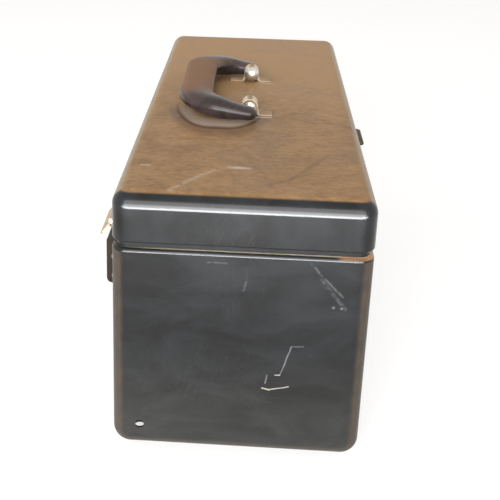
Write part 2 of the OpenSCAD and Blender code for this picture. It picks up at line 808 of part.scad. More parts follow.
// ---- tray ----
module tray_pan() {
    color("gray") {
        ring_sweep(tray_out_l, tray_out_w, tray_corner_r) {
            translate([tray_curl, tray_bottom]) {
                quarter_ring(tray_floor_r, tray_sheet);
                translate([0, tray_floor_r])
                    square([tray_sheet, tray_d - tray_floor_r - tray_roll_r]);
            }
            translate([tray_roll_r, tray_top - tray_roll_r]) difference() {
                circle(tray_roll_r);
                circle(tray_roll_r - tray_sheet);
                translate([0, -tray_roll_r]) square(tray_roll_r);
            }
        }
        translate([0, 0, tray_bottom]) linear_extrude(tray_sheet)
            round_plate(tray_pan_l - 2 * tray_floor_r, tray_pan_w - 2 * tray_floor_r,
                tray_corner_r - tray_curl - tray_floor_r);
    }
}

// Outline of a cross divider, seen along X, with its lower corners clear of the floor radius.
module divider_outline(w, top) {
    translate([0, floor_z]) u_outline(w, top - floor_z, tray_floor_r);
}

module tray_bridge() {
    color("gray") difference() {
        union() {
            translate([-tray_sheet / 2, 0, 0]) rotate([90, 0, 90]) linear_extrude(tray_sheet)
                divider_outline(inside_w, tray_top - 2);
            translate([-bridge_foot - tray_sheet / 2, tray_floor_r - inside_w / 2, floor_z])
                cube([bridge_foot, inside_w - 2 * tray_floor_r, tray_sheet]);
            for (s = [-1, 1]) translate([0, s * bail_ear_y, bail_z]) {
                translate([0, -bail_ear_t / 2, -bail_ear_r])
                    cube([bail_x, bail_ear_t, 2 * bail_ear_r]);
                translate([bail_x, 0, 0]) rotate([90, 0, 0])
                    cylinder(r = bail_ear_r, h = bail_ear_t, center = true);
            }
        }
        for (s = [-1, 1]) translate([bail_x, s * bail_ear_y, bail_z]) rotate([90, 0, 0])
            cylinder(r = bail_r + pin_clear, h = 2 * bail_ear_t, center = true);
    }
}

module tray_divider_right() {
    color("gray") {
        translate([divider_x - tray_sheet / 2, 0, 0]) rotate([90, 0, 90])
            linear_extrude(tray_sheet) divider_outline(inside_w, tray_top - 4);
        translate([divider_x, -inside_w / 2 + tray_floor_r, floor_z])
            cube([bridge_foot, inside_w - 2 * tray_floor_r, tray_sheet]);
    }
}

module tray_divider_left() {
    right_end = -bridge_foot - tray_sheet / 2 - part_gap;
    left_end = -tray_pan_l / 2 + tray_sheet + part_gap;
    color("gray") {
        translate([left_end + tray_floor_r, -tray_sheet / 2, floor_z])
            cube([right_end - left_end - tray_floor_r, tray_sheet, tray_d - tray_sheet - 4]);
        translate([left_end, -tray_sheet / 2, floor_z + tray_floor_r])
            cube([tray_floor_r + eps, tray_sheet, tray_d - tray_sheet - 4 - tray_floor_r]);
        translate([right_end - eps, -tray_sheet / 2, floor_z + 2 * tray_sheet])
            cube([bridge_foot - tray_sheet, tray_sheet, tray_d - 3 * tray_sheet - 4]);
        translate([left_end + tray_floor_r, 0, floor_z])
            cube([right_end - left_end - tray_floor_r, bridge_foot, tray_sheet]);
    }
}

module wire_bend() {
    rotate_extrude(angle = 90) translate([bail_bend, 0]) circle(bail_r);
}

// Bail drawn hanging from its ears: end pins, legs and the bar that carries the sleeve.
module tray_bail() {
    color("silver") translate([bail_x, 0, bail_z]) {
        for (s = [0, 1]) mirror([0, s, 0]) {
            translate([0, bail_end, 0]) rotate([90, 0, 0])
                cylinder(r = bail_r, h = bail_end - bail_w / 2 - bail_bend);
            translate([0, bail_w / 2 + bail_bend, -bail_bend]) rotate([90, 0, 90])
                rotate([0, 0, 90]) wire_bend();
            translate([0, bail_w / 2, bail_bend - bail_reach])
                cylinder(r = bail_r, h = bail_reach - 2 * bail_bend);
            translate([0, bail_w / 2 - bail_bend, bail_bend - bail_reach]) rotate([90, 0, 90])
                rotate([0, 0, -90]) wire_bend();
        }
        translate([0, 0, -bail_reach]) rotate([90, 0, 0])
            cylinder(r = bail_r, h = bail_w - 2 * bail_bend, center = true);
    }
}

module tray_bail_sleeve() {
    color("black") translate([bail_x, 0, bail_z - bail_reach]) rotate([90, 0, 0]) difference() {
        cylinder(r = sleeve_r, h = sleeve_l, center = true);
        cylinder(r = bail_r, h = sleeve_l + 2, center = true);
    }
}

body_wrap();
end_pan_right();
end_pan_left();
body_rim();
tray_ledge_right();
tray_ledge_left();
hinge_leaf_body();
hinge_pin();
hinge_rivets_body();
catch_case_right();
catch_case_left();
catch_case_rivets();
thumb_slide_right();
thumb_slide_left();
lid_shell();
lid_stiffener();
hinge_leaf_lid();
hinge_rivets_lid();
lid_stop();
lid_stop_rivets();
flap_leaf_right();
flap_leaf_left();
flap_leaf_rivets();
flap_pin_right();
flap_pin_left();
handle_loop_right();
handle_loop_left();
latch_flap_right();
latch_flap_left();
handle_grip();
handle_pin_right();
handle_pin_left();
tray_pan();
tray_bridge();
tray_divider_right();
tray_divider_left();
tray_bail();
tray_bail_sleeve();
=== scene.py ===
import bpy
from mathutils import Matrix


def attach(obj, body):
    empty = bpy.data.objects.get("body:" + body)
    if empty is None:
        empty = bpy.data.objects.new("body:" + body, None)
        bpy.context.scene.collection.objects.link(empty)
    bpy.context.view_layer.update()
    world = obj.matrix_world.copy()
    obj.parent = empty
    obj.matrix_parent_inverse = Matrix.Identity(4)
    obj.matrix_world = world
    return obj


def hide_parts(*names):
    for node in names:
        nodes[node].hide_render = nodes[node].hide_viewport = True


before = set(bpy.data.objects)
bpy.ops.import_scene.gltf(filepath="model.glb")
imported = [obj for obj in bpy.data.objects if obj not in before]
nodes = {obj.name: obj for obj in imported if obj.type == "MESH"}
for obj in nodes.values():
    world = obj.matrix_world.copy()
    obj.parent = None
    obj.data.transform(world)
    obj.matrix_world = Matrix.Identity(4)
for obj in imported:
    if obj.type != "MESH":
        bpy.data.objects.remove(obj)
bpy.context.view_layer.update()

import math

import bpy
from mathutils import Matrix, Vector

scene = bpy.context.scene
scene.view_settings.view_transform = "Standard"
print("frame loaded:", len(nodes), "nodes")


# Links a socket, or sets its value.
def feed(tree, socket, value):
    if isinstance(value, bpy.types.NodeSocket):
        tree.links.new(value, socket)
        return
    if hasattr(socket.default_value, "__len__") and len(socket.default_value) == 4 and len(value) == 3:
        value = (*value, 1.0)  # a colour's opacity
    socket.default_value = value


def feedEach(tree, sockets, values):
    for socket, value in zip(sockets, values):
        feed(tree, socket, value)


def addNode(tree, kind, inputs=None, **settings):
    node = tree.nodes.new(kind)
    for name, value in settings.items():
        setattr(node, name, value)
    for name, value in (inputs or {}).items():
        feed(tree, node.inputs[name], value)
    return node


# The first output of a new node.
def outputOf(tree, kind, inputs=None, **settings):
    return addNode(tree, kind, inputs, **settings).outputs[0]


def calc(tree, operation, *values, clamp=False):
    node = addNode(tree, "ShaderNodeMath", operation=operation, use_clamp=clamp)
    feedEach(tree, node.inputs, values)
    return node.outputs[0]


def plus(tree, first, second, clamp=False):
    return calc(tree, "ADD", first, second, clamp=clamp)


def minus(tree, first, second):
    return calc(tree, "SUBTRACT", first, second)


def product(tree, *values):
    result = values[0]
    for value in values[1:]:
        result = calc(tree, "MULTIPLY", result, value)
    return result


def vectorCalc(tree, operation, *values):
    node = addNode(tree, "ShaderNodeVectorMath", operation=operation)
    sockets = [socket for socket in node.inputs if socket.type == "VECTOR"]
    if operation == "SCALE":
        sockets = [node.inputs[0], node.inputs["Scale"]]
    feedEach(tree, sockets, values)
    return node.outputs["Value"] if operation in ("LENGTH", "DOT_PRODUCT", "DISTANCE") else node.outputs[0]


# Rises smoothly from 0 at low to 1 at high, or falls if high is the smaller.
def step(tree, value, low, high):
    return outputOf(tree, "ShaderNodeMapRange", {"Value": value, "From Min": low, "From Max": high},
        interpolation_type="SMOOTHSTEP")


def splitVector(tree, vector):
    return addNode(tree, "ShaderNodeSeparateXYZ", {"Vector": vector}).outputs


def joinVector(tree, x, y, z):
    return outputOf(tree, "ShaderNodeCombineXYZ", {"X": x, "Y": y, "Z": z})


# The kinds of input that a tree can have.
floatKind, wholeKind, vectorKind = "NodeSocketFloat", "NodeSocketInt", "NodeSocketVector"
origin = (0.0, 0.0, 0.0)


def addObject(name, data):
    item = bpy.data.objects.new(name, data)
    scene.collection.objects.link(item)
    return item


# A tree's inputs take their names, kinds and first values from a dictionary.
def nameInputs(tree, inputs):
    for label, value in inputs.items():
        kind = vectorKind if hasattr(value, "__len__") else wholeKind if isinstance(value, int) else floatKind
        tree.interface.new_socket(label, in_out="INPUT", socket_type=kind).default_value = value


# A shape's tree has its sizes for inputs, and the material that it ends in.
def newShape(name, sizes):
    tree = bpy.data.node_groups.new(name, "GeometryNodeTree")
    nameInputs(tree, sizes)
    tree.interface.new_socket("Finish", in_out="INPUT", socket_type="NodeSocketMaterial")
    tree.interface.new_socket("Geometry", in_out="OUTPUT", socket_type="NodeSocketGeometry")
    return tree, tree.nodes.new("NodeGroupInput").outputs


def endShape(tree, given, geometry):
    real = outputOf(tree, "GeometryNodeRealizeInstances", {"Geometry": geometry})
    painted = outputOf(tree, "GeometryNodeSetMaterial", {"Geometry": real, "Material": given["Finish"]})
    feed(tree, tree.nodes.new("NodeGroupOutput").inputs[0], painted)
    return tree


def moved(tree, geometry, place=origin, turn=origin):
    return outputOf(tree, "GeometryNodeTransform", {"Geometry": geometry, "Translation": place,
        "Rotation": turn})


def joined(tree, *parts):
    node = tree.nodes.new("GeometryNodeJoinGeometry")
    for part in parts:
        tree.links.new(part, node.inputs[0])
    return node.outputs[0]


def placedAt(tree, geometry, position):
    return outputOf(tree, "GeometryNodeSetPosition", {"Geometry": geometry, "Position": position})


# Corner points in order, one input per point, as a curve with its corners rounded.
def bentLine(tree, corners, radii, count):
    line = outputOf(tree, "GeometryNodeMeshLine", {"Count": len(corners)})
    index = outputOf(tree, "GeometryNodeInputIndex")
    pick = addNode(tree, "GeometryNodeIndexSwitch", {"Index": index}, data_type="VECTOR")
    reach = addNode(tree, "GeometryNodeIndexSwitch", {"Index": index}, data_type="FLOAT")
    for spot in range(len(corners)):
        if spot > 1:
            pick.index_switch_items.new()
            reach.index_switch_items.new()
        feed(tree, pick.inputs[spot + 1], corners[spot])
        feed(tree, reach.inputs[spot + 1], radii[spot])
    line = placedAt(tree, line, pick.outputs[0])
    curve = outputOf(tree, "GeometryNodeMeshToCurve", {"Mesh": line})
    return outputOf(tree, "GeometryNodeFilletCurve", {"Curve": curve, "Count": count,
        "Radius": reach.outputs[0], "Limit Radius": True}, mode="POLY")


# Runs a tree with its own sizes, keeps the result as a plain mesh and hangs it on its body.
def growPiece(name, tree, sizes, finish, body, replaced, smooth=40.0):
    seed = addObject(name + "Seed", bpy.data.meshes.new(name + "Seed"))
    modifier = seed.modifiers.new("shape", "NODES")
    modifier.node_group = tree
    identifiers = {item.name: item.identifier for item in tree.interface.items_tree if item.in_out == "INPUT"}
    for label, value in sizes.items():
        modifier[identifiers[label]] = value
    modifier[identifiers["Finish"]] = finish
    depsgraph = bpy.context.evaluated_depsgraph_get()
    mesh = bpy.data.meshes.new_from_object(seed.evaluated_get(depsgraph), depsgraph=depsgraph)
    mesh.name = name
    bpy.data.objects.remove(seed)
    mesh.shade_smooth()
    mesh.set_sharp_from_angle(angle=math.radians(smooth))
    piece = addObject(name, mesh)
    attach(piece, body)
    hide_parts(*replaced)
    print("piece", name, len(mesh.polygons), "faces")


# Rivets: a domed head, a shank and a flat tail.
rivetSizes = {
    "HeadRadius": 0.003, "HeadHeight": 0.0013, "ShankRadius": 0.0016, "TailRadius": 0.0024,
    "TailHeight": 0.001, "Unevenness": 0.05,
}


# Domed rivets on a grid of columns, rows and groups, each a little different in size.
def makeRivets():
    tree, given = newShape("rivetPattern", {"Columns": 2, "Rows": 1, "Groups": 1, "First": origin,
        "ColumnStep": origin, "RowStep": origin, "GroupStep": origin, "Facing": origin, "Grip": 0.002,
        **rivetSizes})
    ballSegments, ballRings, shankSides, underside, sizeSeed = 24, 14, 16, 0.001, 3
    headRadius, headHeight = given["HeadRadius"], given["HeadHeight"]
    ball = outputOf(tree, "GeometryNodeMeshUVSphere",
        {"Segments": ballSegments, "Rings": ballRings, "Radius": 1.0})
    x, y, z = splitVector(tree, outputOf(tree, "GeometryNodeInputPosition"))
    flat = calc(tree, "SQRT", plus(tree, product(tree, x, x), product(tree, y, y)))
    squares = plus(tree, product(tree, headRadius, headRadius), product(tree, headHeight, headHeight))
    domeRadius = calc(tree, "DIVIDE", squares, product(tree, headHeight, 2.0))
    reach = product(tree, flat, headRadius)
    rise = calc(tree, "SQRT", minus(tree, product(tree, domeRadius, domeRadius), product(tree, reach, reach)))
    rise = minus(tree, rise, minus(tree, domeRadius, headHeight))
    rise = product(tree, rise, calc(tree, "GREATER_THAN", z, underside))
    domeX, domeY = product(tree, x, headRadius), product(tree, y, headRadius)
    head = placedAt(tree, ball, joinVector(tree, domeX, domeY, rise))
    grip = given["Grip"]
    shank = outputOf(tree, "GeometryNodeMeshCylinder",
        {"Vertices": shankSides, "Radius": given["ShankRadius"], "Depth": grip})
    shank = moved(tree, shank, joinVector(tree, 0, 0, product(tree, grip, -0.5)))
    tail = outputOf(tree, "GeometryNodeMeshCylinder", {"Vertices": shankSides, "Radius": given["TailRadius"],
        "Depth": given["TailHeight"]})
    tailPlace = minus(tree, product(tree, grip, -1.0), product(tree, given["TailHeight"], 0.5))
    tail = moved(tree, tail, joinVector(tree, 0, 0, tailPlace))
    index = outputOf(tree, "GeometryNodeInputIndex")
    column = calc(tree, "MODULO", index, given["Columns"])
    row = calc(tree, "FLOOR", calc(tree, "DIVIDE", index, given["Columns"]))
    row = calc(tree, "MODULO", row, given["Rows"])
    perGroup = product(tree, given["Columns"], given["Rows"])
    group = calc(tree, "FLOOR", calc(tree, "DIVIDE", index, perGroup))
    place = given["First"]
    for number, stride in ((column, "ColumnStep"), (row, "RowStep"), (group, "GroupStep")):
        place = vectorCalc(tree, "ADD", place, vectorCalc(tree, "SCALE", given[stride], number))
    points = outputOf(tree, "GeometryNodePoints", {"Count": product(tree, perGroup, given["Groups"]),
        "Position": place})
    least = minus(tree, 1.0, given["Unevenness"])
    size = addNode(tree, "FunctionNodeRandomValue", {"Min": least, "Max": 1.0, "Seed": sizeSeed},
        data_type="FLOAT").outputs[1]
    spots = outputOf(tree, "GeometryNodeInstanceOnPoints", {"Points": points,
        "Instance": joined(tree, head, shank, tail), "Rotation": given["Facing"],
        "Scale": joinVector(tree, size, size, 1.0)})
    return endShape(tree, given, spots)


# The continuous hinge along the back.
hingeSizes = {
    "Length": 0.396, "Pitch": 0.022, "KnuckleGap": 0.0003, "KnuckleRadius": 0.0024, "Thickness": 0.0012,
    "LeafWidth": 0.014, "LeafClear": 0.00035, "SeamAngle": 0.7, "NotchLength": 0.0468, "NotchFrom": 0.03,
}


# One leaf with its rolled knuckles, hanging below the pin's axis, turned over for the lid.
def makeHingeLeaf():
    tree, given = newShape("hingeLeaf", {"Center": origin, "Turn": origin, **hingeSizes})
    curlPoints, cutterThick = 40, 0.01
    radius, thick, pitch = given["KnuckleRadius"], given["Thickness"], given["Pitch"]
    middle = minus(tree, radius, product(tree, thick, 0.5))
    width = minus(tree, pitch, given["KnuckleGap"])
    curl = outputOf(tree, "GeometryNodeCurveArc", {"Resolution": curlPoints, "Radius": middle,
        "Start Angle": math.pi, "Sweep Angle": minus(tree, given["SeamAngle"], 2 * math.pi)})
    strip = outputOf(tree, "GeometryNodeCurvePrimitiveQuadrilateral", {"Width": thick, "Height": width})
    roll = outputOf(tree, "GeometryNodeCurveToMesh", {"Curve": curl, "Profile Curve": strip,
        "Fill Caps": True})
    roll = moved(tree, roll, turn=(math.pi / 2, 0, math.pi / 2))
    legLength = plus(tree, radius, given["LeafClear"])
    leg = outputOf(tree, "GeometryNodeMeshCube", {"Size": joinVector(tree, width, thick, legLength)})
    legY = product(tree, middle, -1.0)
    leg = moved(tree, leg, joinVector(tree, 0, legY, product(tree, legLength, -0.5)))
    start = minus(tree, product(tree, pitch, 0.5), product(tree, given["Length"], 0.5))
    count = calc(tree, "ROUND", calc(tree, "DIVIDE", given["Length"], product(tree, pitch, 2.0)))
    start, stride = joinVector(tree, start, 0, 0), joinVector(tree, product(tree, pitch, 2.0), 0, 0)
    row = outputOf(tree, "GeometryNodeMeshLine", {"Count": count, "Start Location": start, "Offset": stride})
    knuckles = outputOf(tree, "GeometryNodeInstanceOnPoints", {"Points": row,
        "Instance": joined(tree, roll, leg)})
    leafHeight = minus(tree, given["LeafWidth"], given["LeafClear"])
    plateSize = joinVector(tree, given["Length"], thick, leafHeight)
    plate = outputOf(tree, "GeometryNodeMeshCube", {"Size": plateSize})
    plateZ = minus(tree, product(tree, leafHeight, -0.5), legLength)
    plate = moved(tree, plate, joinVector(tree, 0, legY, plateZ))
    notchDepth = product(tree, given["LeafWidth"], 2.0)
    cutterSize = joinVector(tree, given["NotchLength"], cutterThick, notchDepth)
    cutter = outputOf(tree, "GeometryNodeMeshCube", {"Size": cutterSize})
    cutterZ = minus(tree, product(tree, notchDepth, -0.5), given["NotchFrom"])
    cutter = moved(tree, cutter, joinVector(tree, 0, 0, cutterZ))
    cut = addNode(tree, "GeometryNodeMeshBoolean", {"Mesh 1": plate}, operation="DIFFERENCE", solver="EXACT")
    tree.links.new(cutter, cut.inputs["Mesh 2"])
    leaf = moved(tree, joined(tree, cut.outputs[0], knuckles), given["Center"], given["Turn"])
    return endShape(tree, given, leaf)


# The folding handle on the lid.
handleSizes = {
    "Rings": 321, "Sides": 49, "OuterLength": 0.167, "Reach": 0.046, "CornerRadius": 0.035, "ArmBack": 0.006,
    "ArmWidth": 0.017, "ArmThickness": 0.0108, "ArmDrop": 0.0012, "GripWidth": 0.029, "GripThickness": 0.017,
    "WidthStart": 0.004, "WidthEnd": 0.014, "ThickStart": 0.004, "ThickEnd": 0.018, "Squareness": 0.85,
    "SeamHeight": 0.00012, "FoldAngle": 6.0, "PivotHeight": 0.2055,
}


# The moulded handle: a sheet of rings swept from one arm's end round to the other's, welded into a tube.
def makeHandle():
    tree, given = newShape("mouldedHandle", handleSizes)
    seamReach, weldGap, corner = 0.09, 0.00001, given["CornerRadius"]

    def add(a, b):
        return plus(tree, a, b)

    def less(a, b):
        return minus(tree, a, b)

    def times(*values):
        return product(tree, *values)

    armX = times(less(given["OuterLength"], given["ArmWidth"]), 0.5)
    armRun = add(less(given["Reach"], corner), given["ArmBack"])
    cornerRun = times(corner, math.pi / 2)
    halfRun = less(add(add(armRun, cornerRun), armX), corner)
    grid = outputOf(tree, "GeometryNodeMeshGrid", {"Size X": 1.0, "Size Y": 1.0, "Vertices X": given["Rings"],
        "Vertices Y": given["Sides"]})
    x, y = splitVector(tree, outputOf(tree, "GeometryNodeInputPosition"))[:2]
    side = less(times(calc(tree, "GREATER_THAN", x, 0.0), 2.0), 1.0)
    along = times(less(1.0, times(calc(tree, "ABSOLUTE", x), 2.0)), halfRun)
    around = times(y, 2 * math.pi)
    pastArm = calc(tree, "MINIMUM", calc(tree, "MAXIMUM", less(along, armRun), 0.0), cornerRun)
    bearing = calc(tree, "DIVIDE", pastArm, corner)
    straight = calc(tree, "MAXIMUM", less(less(along, armRun), cornerRun), 0.0)
    turnCos, turnSin = calc(tree, "COSINE", bearing), calc(tree, "SINE", bearing)
    middleX = less(less(armX, times(corner, less(1.0, turnCos))), straight)
    middleY = add(less(calc(tree, "MINIMUM", along, armRun), given["ArmBack"]),
        times(corner, turnSin))
    toEnd = less(1.0, calc(tree, "MINIMUM", calc(tree, "DIVIDE", along, given["ArmBack"]), 1.0))
    endRound = calc(tree, "SQRT", calc(tree, "MAXIMUM", less(1.0, times(toEnd, toEnd)), 0.0))
    widen = step(tree, along, less(armRun, given["WidthStart"]),
        less(add(armRun, cornerRun), given["WidthEnd"]))
    halfWidth = times(add(given["ArmWidth"], times(less(given["GripWidth"], given["ArmWidth"]), widen)),
        endRound, 0.5)
    thicken = step(tree, along, given["ThickStart"], add(armRun, given["ThickEnd"]))
    thicker = times(less(given["GripThickness"], given["ArmThickness"]), thicken)
    halfThick = times(add(given["ArmThickness"], thicker), endRound, 0.5)
    sink = less(step(tree, along, less(armRun, given["ArmBack"]),
        less(add(armRun, cornerRun), given["ArmBack"])), 1.0)
    level = times(sink, given["ArmDrop"])

    def squared(value):
        strength = calc(tree, "POWER", calc(tree, "ABSOLUTE", value), given["Squareness"])
        return times(strength, calc(tree, "SIGN", value))

    aroundCos, aroundSin = calc(tree, "COSINE", around), calc(tree, "SINE", around)
    seam = times(step(tree, calc(tree, "ABSOLUTE", aroundSin), seamReach, 0.0), given["SeamHeight"], endRound)
    body = less(halfWidth, times(given["SeamHeight"], endRound))
    out = add(times(body, squared(aroundCos)), times(seam, calc(tree, "SIGN", aroundCos)))
    lift = add(level, times(halfThick, squared(aroundSin)))
    flatX = times(side, add(middleX, times(out, turnCos)))
    flatY = add(middleY, times(out, turnSin))
    fold = times(given["FoldAngle"], math.pi / 180)
    foldCos, foldSin = calc(tree, "COSINE", fold), calc(tree, "SINE", fold)
    placeY = less(times(lift, foldSin), times(flatY, foldCos))
    placeZ = add(add(times(flatY, foldSin), times(lift, foldCos)), given["PivotHeight"])
    tube = placedAt(tree, grid, joinVector(tree, flatX, placeY, placeZ))
    tube = outputOf(tree, "GeometryNodeMergeByDistance", {"Geometry": tube, "Distance": weldGap})
    return endShape(tree, given, tube)


# The two strap loops that hold the handle.
loopSizes = {
    "Spread": 0.111, "StrapWidth": 0.013, "Thickness": 0.0015, "InnerRadius": 0.0054, "FootReach": 0.019,
    "FootBend": 0.0015, "PivotHeight": 0.0075, "LidTop": 0.198, "EdgeRadius": 0.0004,
}


# A flat strap bent over the pin, both feet flat on the lid, one at each end of the spread.
def makeLoops():
    bendPoints, edgePoints = 14, 3
    tree, given = newShape("strapLoops", loopSizes)
    half = product(tree, given["Thickness"], 0.5)
    arch = plus(tree, given["InnerRadius"], half)
    top = plus(tree, given["PivotHeight"], arch)
    foot, left = product(tree, given["FootReach"], -1.0), product(tree, arch, -1.0)
    bends = ((foot, half), (left, half), (left, top), (arch, top), (arch, half), (given["FootReach"], half))
    corners = [joinVector(tree, 0, a, b) for a, b in bends]
    bend = plus(tree, given["FootBend"], half)
    line = bentLine(tree, corners, (0.0, bend, arch, arch, bend, 0.0), bendPoints)
    strip = outputOf(tree, "GeometryNodeCurvePrimitiveQuadrilateral",
        {"Width": given["StrapWidth"], "Height": given["Thickness"]})
    strip = outputOf(tree, "GeometryNodeFilletCurve",
        {"Curve": strip, "Count": edgePoints, "Radius": given["EdgeRadius"]}, mode="POLY")
    upright = addNode(tree, "GeometryNodeSetCurveNormal", {"Curve": line}, mode="FREE")
    feed(tree, upright.inputs["Normal"], (1.0, 0.0, 0.0))
    loop = outputOf(tree, "GeometryNodeCurveToMesh",
        {"Curve": upright.outputs[0], "Profile Curve": strip, "Fill Caps": True})
    start = joinVector(tree, product(tree, given["Spread"], -0.5), 0, given["LidTop"])
    pair = outputOf(tree, "GeometryNodeMeshLine", {"Count": 2, "Start Location": start,
        "Offset": joinVector(tree, given["Spread"], 0, 0)})
    loops = outputOf(tree, "GeometryNodeInstanceOnPoints", {"Points": pair, "Instance": loop})
    return endShape(tree, given, loops)


# The tray's wire bail.
bailSizes = {
    "LegSpan": 0.084, "PinReach": 0.0495, "Drop": 0.024, "WireRadius": 0.0016, "BendRadius": 0.004,
    "Center": (0.0048, 0.0, 0.162), "Facets": 20,
}


# Round wire: pins in the ears, two legs and the bar that carries the sleeve.
def makeBail():
    bendPoints = 10
    tree, given = newShape("wireBail", bailSizes)
    leg, low = product(tree, given["LegSpan"], 0.5), product(tree, given["Drop"], -1.0)
    pin = given["PinReach"]
    legLeft, pinLeft = product(tree, leg, -1.0), product(tree, pin, -1.0)
    bends = ((pinLeft, 0), (legLeft, 0), (legLeft, low), (leg, low), (leg, 0), (pin, 0))
    corners = [joinVector(tree, 0, a, b) for a, b in bends]
    bend = given["BendRadius"]
    line = bentLine(tree, corners, (0.0, bend, bend, bend, bend, 0.0), bendPoints)
    wire = outputOf(tree, "GeometryNodeCurvePrimitiveCircle",
        {"Resolution": given["Facets"], "Radius": given["WireRadius"]})
    bail = outputOf(tree, "GeometryNodeCurveToMesh",
        {"Curve": line, "Profile Curve": wire, "Fill Caps": True})
    return endShape(tree, given, moved(tree, bail, given["Center"]))


# A Mix node keeps a set of sockets for each kind of data, so its open ones are picked out.
def mix(tree, kind, factor, first, second):
    node = addNode(tree, "ShaderNodeMix", data_type=kind)
    feedEach(tree, [socket for socket in node.inputs if socket.enabled], (factor, first, second))
    return next(socket for socket in node.outputs if socket.enabled)


def mixColor(tree, factor, first, second):
    return mix(tree, "RGBA", factor, first, second)


def mixValue(tree, factor, first, second):
    return mix(tree, "FLOAT", factor, first, second)


def noise(tree, point, scale, detail=4.0, roughness=0.55, distortion=0.0):
    return outputOf(tree, "ShaderNodeTexNoise", {"Vector": point, "Scale": scale, "Detail": detail,
        "Roughness": roughness, "Distortion": distortion})


def stretch(tree, point, scale, turn=origin, offset=origin):
    return outputOf(tree, "ShaderNodeMapping", {"Vector": point, "Scale": scale, "Rotation": turn,
        "Location": offset})


# A surface effect's group: named inputs, and a mask out.
def newGroup(name, inputs):
    tree = bpy.data.node_groups.new(name, "ShaderNodeTree")
    nameInputs(tree, inputs)
    tree.interface.new_socket("Mask", in_out="OUTPUT", socket_type=floatKind)
    return tree, tree.nodes.new("NodeGroupInput").outputs, tree.nodes.new("NodeGroupOutput").inputs[0]


def useGroup(tree, group, **values):
    node = addNode(tree, "ShaderNodeGroup", node_tree=group)
    for name, value in values.items():
        feed(tree, node.inputs[name], value)
    return node.outputs[0]


# Dust lies on what faces up, thinning over the rounded edges. On the lid its brown is also a painted warm
# reflection, and on the rim's ledge its pale colour is also painted light.
def makeDustAndSheen():
    tree, given, made = newGroup("surfaceDustAndSheen", {"Point": origin, "Normal": origin, "Amount": 0.6,
        "Steep": 0.8, "Flat": 0.93, "Scale": 12.0})
    fineTimes, driftShare, fineShare, least, driftLow, driftHigh = 30.0, 0.4, 0.4, 0.6, 0.2, 0.8
    up = step(tree, splitVector(tree, given["Normal"])[2], given["Steep"], given["Flat"])
    drift = noise(tree, given["Point"], given["Scale"], detail=5.0, roughness=0.6, distortion=0.8)
    fine = noise(tree, given["Point"], product(tree, given["Scale"], fineTimes), detail=3.0, roughness=0.7)
    drift = step(tree, drift, driftLow, driftHigh)
    cover = plus(tree, product(tree, drift, driftShare), product(tree, fine, fineShare))
    cover = product(tree, up, plus(tree, cover, least))
    feed(tree, made, calc(tree, "MULTIPLY", cover, given["Amount"], clamp=True))
    return tree


# Rounded edges facing partly along the chosen axes, where handling rubs the paint. On the end pans' rounded
# corners the brown band is also painted shading of the rounding.
def makeEdgeRubAndShade():
    tree, given, made = newGroup("edgeRubAndShade", {"Point": origin, "Normal": origin, "Axes": (1.0, 1.0, 0.0),
        "Away": origin, "Amount": 0.5, "Rise": -1.0, "Scale": 60.0})
    bandStart, bandFull, flatFace, nearlyFlat = 0.12, 0.4, 0.995, 0.85
    awayEnd, awayStart, riseSpan, patchShare, least = 0.35, 0.05, 0.3, 0.6, 0.4
    patchLow, patchHigh = 0.2, 0.7
    sides = vectorCalc(tree, "ABSOLUTE", given["Normal"])
    facing = vectorCalc(tree, "DOT_PRODUCT", sides, given["Axes"])
    band = product(tree, step(tree, facing, bandStart, bandFull), step(tree, facing, flatFace, nearlyFlat),
        step(tree, vectorCalc(tree, "DOT_PRODUCT", sides, given["Away"]), awayEnd, awayStart))
    rise = splitVector(tree, given["Normal"])[2]
    band = product(tree, band, step(tree, rise, given["Rise"], plus(tree, given["Rise"], riseSpan)))
    patches = noise(tree, given["Point"], given["Scale"], roughness=0.6)
    patches = step(tree, patches, patchLow, patchHigh)
    feed(tree, made, product(tree, band, plus(tree, product(tree, patches, patchShare), least),
        given["Amount"]))
    return tree


# Ragged spots that gather in broad patches.
def makeRust():
    tree, given, made = newGroup("rustSpots", {"Point": origin, "Amount": 0.3, "Scale": 40.0})
    broadTimes, spotShare, broadShare, rarest, widening, spotEdge = 0.2, 0.65, 0.35, 0.74, 0.3, 0.05
    broad = noise(tree, given["Point"], product(tree, given["Scale"], broadTimes), detail=3.0,
        roughness=0.6)
    spots = noise(tree, given["Point"], given["Scale"], detail=8.0, roughness=0.75, distortion=0.3)
    level = plus(tree, product(tree, spots, spotShare), product(tree, broad, broadShare))
    start = minus(tree, rarest, product(tree, given["Amount"], widening))
    feed(tree, made, step(tree, level, start, plus(tree, start, spotEdge)))
    return tree


# Thin, nearly straight marks in several directions.
def makeScratches():
    tree, given, made = newGroup("fineScratches", {"Point": origin, "Amount": 0.5, "Scale": 1.0})
    angles, spread, slimness, lineHalf = (0.15, 0.7, 1.35, 2.3), 26, 42, 0.012
    rarest, widening, full, middle = 0.72, 0.25, 0.8, 0.5
    tilt, shiftX, shiftY, patchScale = 0.6, 7.1, 3.3, 0.4
    point = vectorCalc(tree, "SCALE", given["Point"], given["Scale"])
    total = None
    for index, angle in enumerate(angles):
        turned = stretch(tree, point, (spread, spread, spread), (angle, angle * tilt, angle),
            (index * shiftX, index * shiftY, 0))
        thin = noise(tree, stretch(tree, turned, (1, slimness, 1)), 1.0, detail=2.0, roughness=0.5)
        mark = step(tree, calc(tree, "ABSOLUTE", minus(tree, thin, middle)), lineHalf, 0.0)
        threshold = minus(tree, rarest, product(tree, given["Amount"], widening))
        patches = noise(tree, turned, patchScale, detail=2.0)
        mark = product(tree, mark, step(tree, patches, threshold, full))
        total = mark if total is None else calc(tree, "MAXIMUM", total, mark)
    feed(tree, made, total)
    return tree


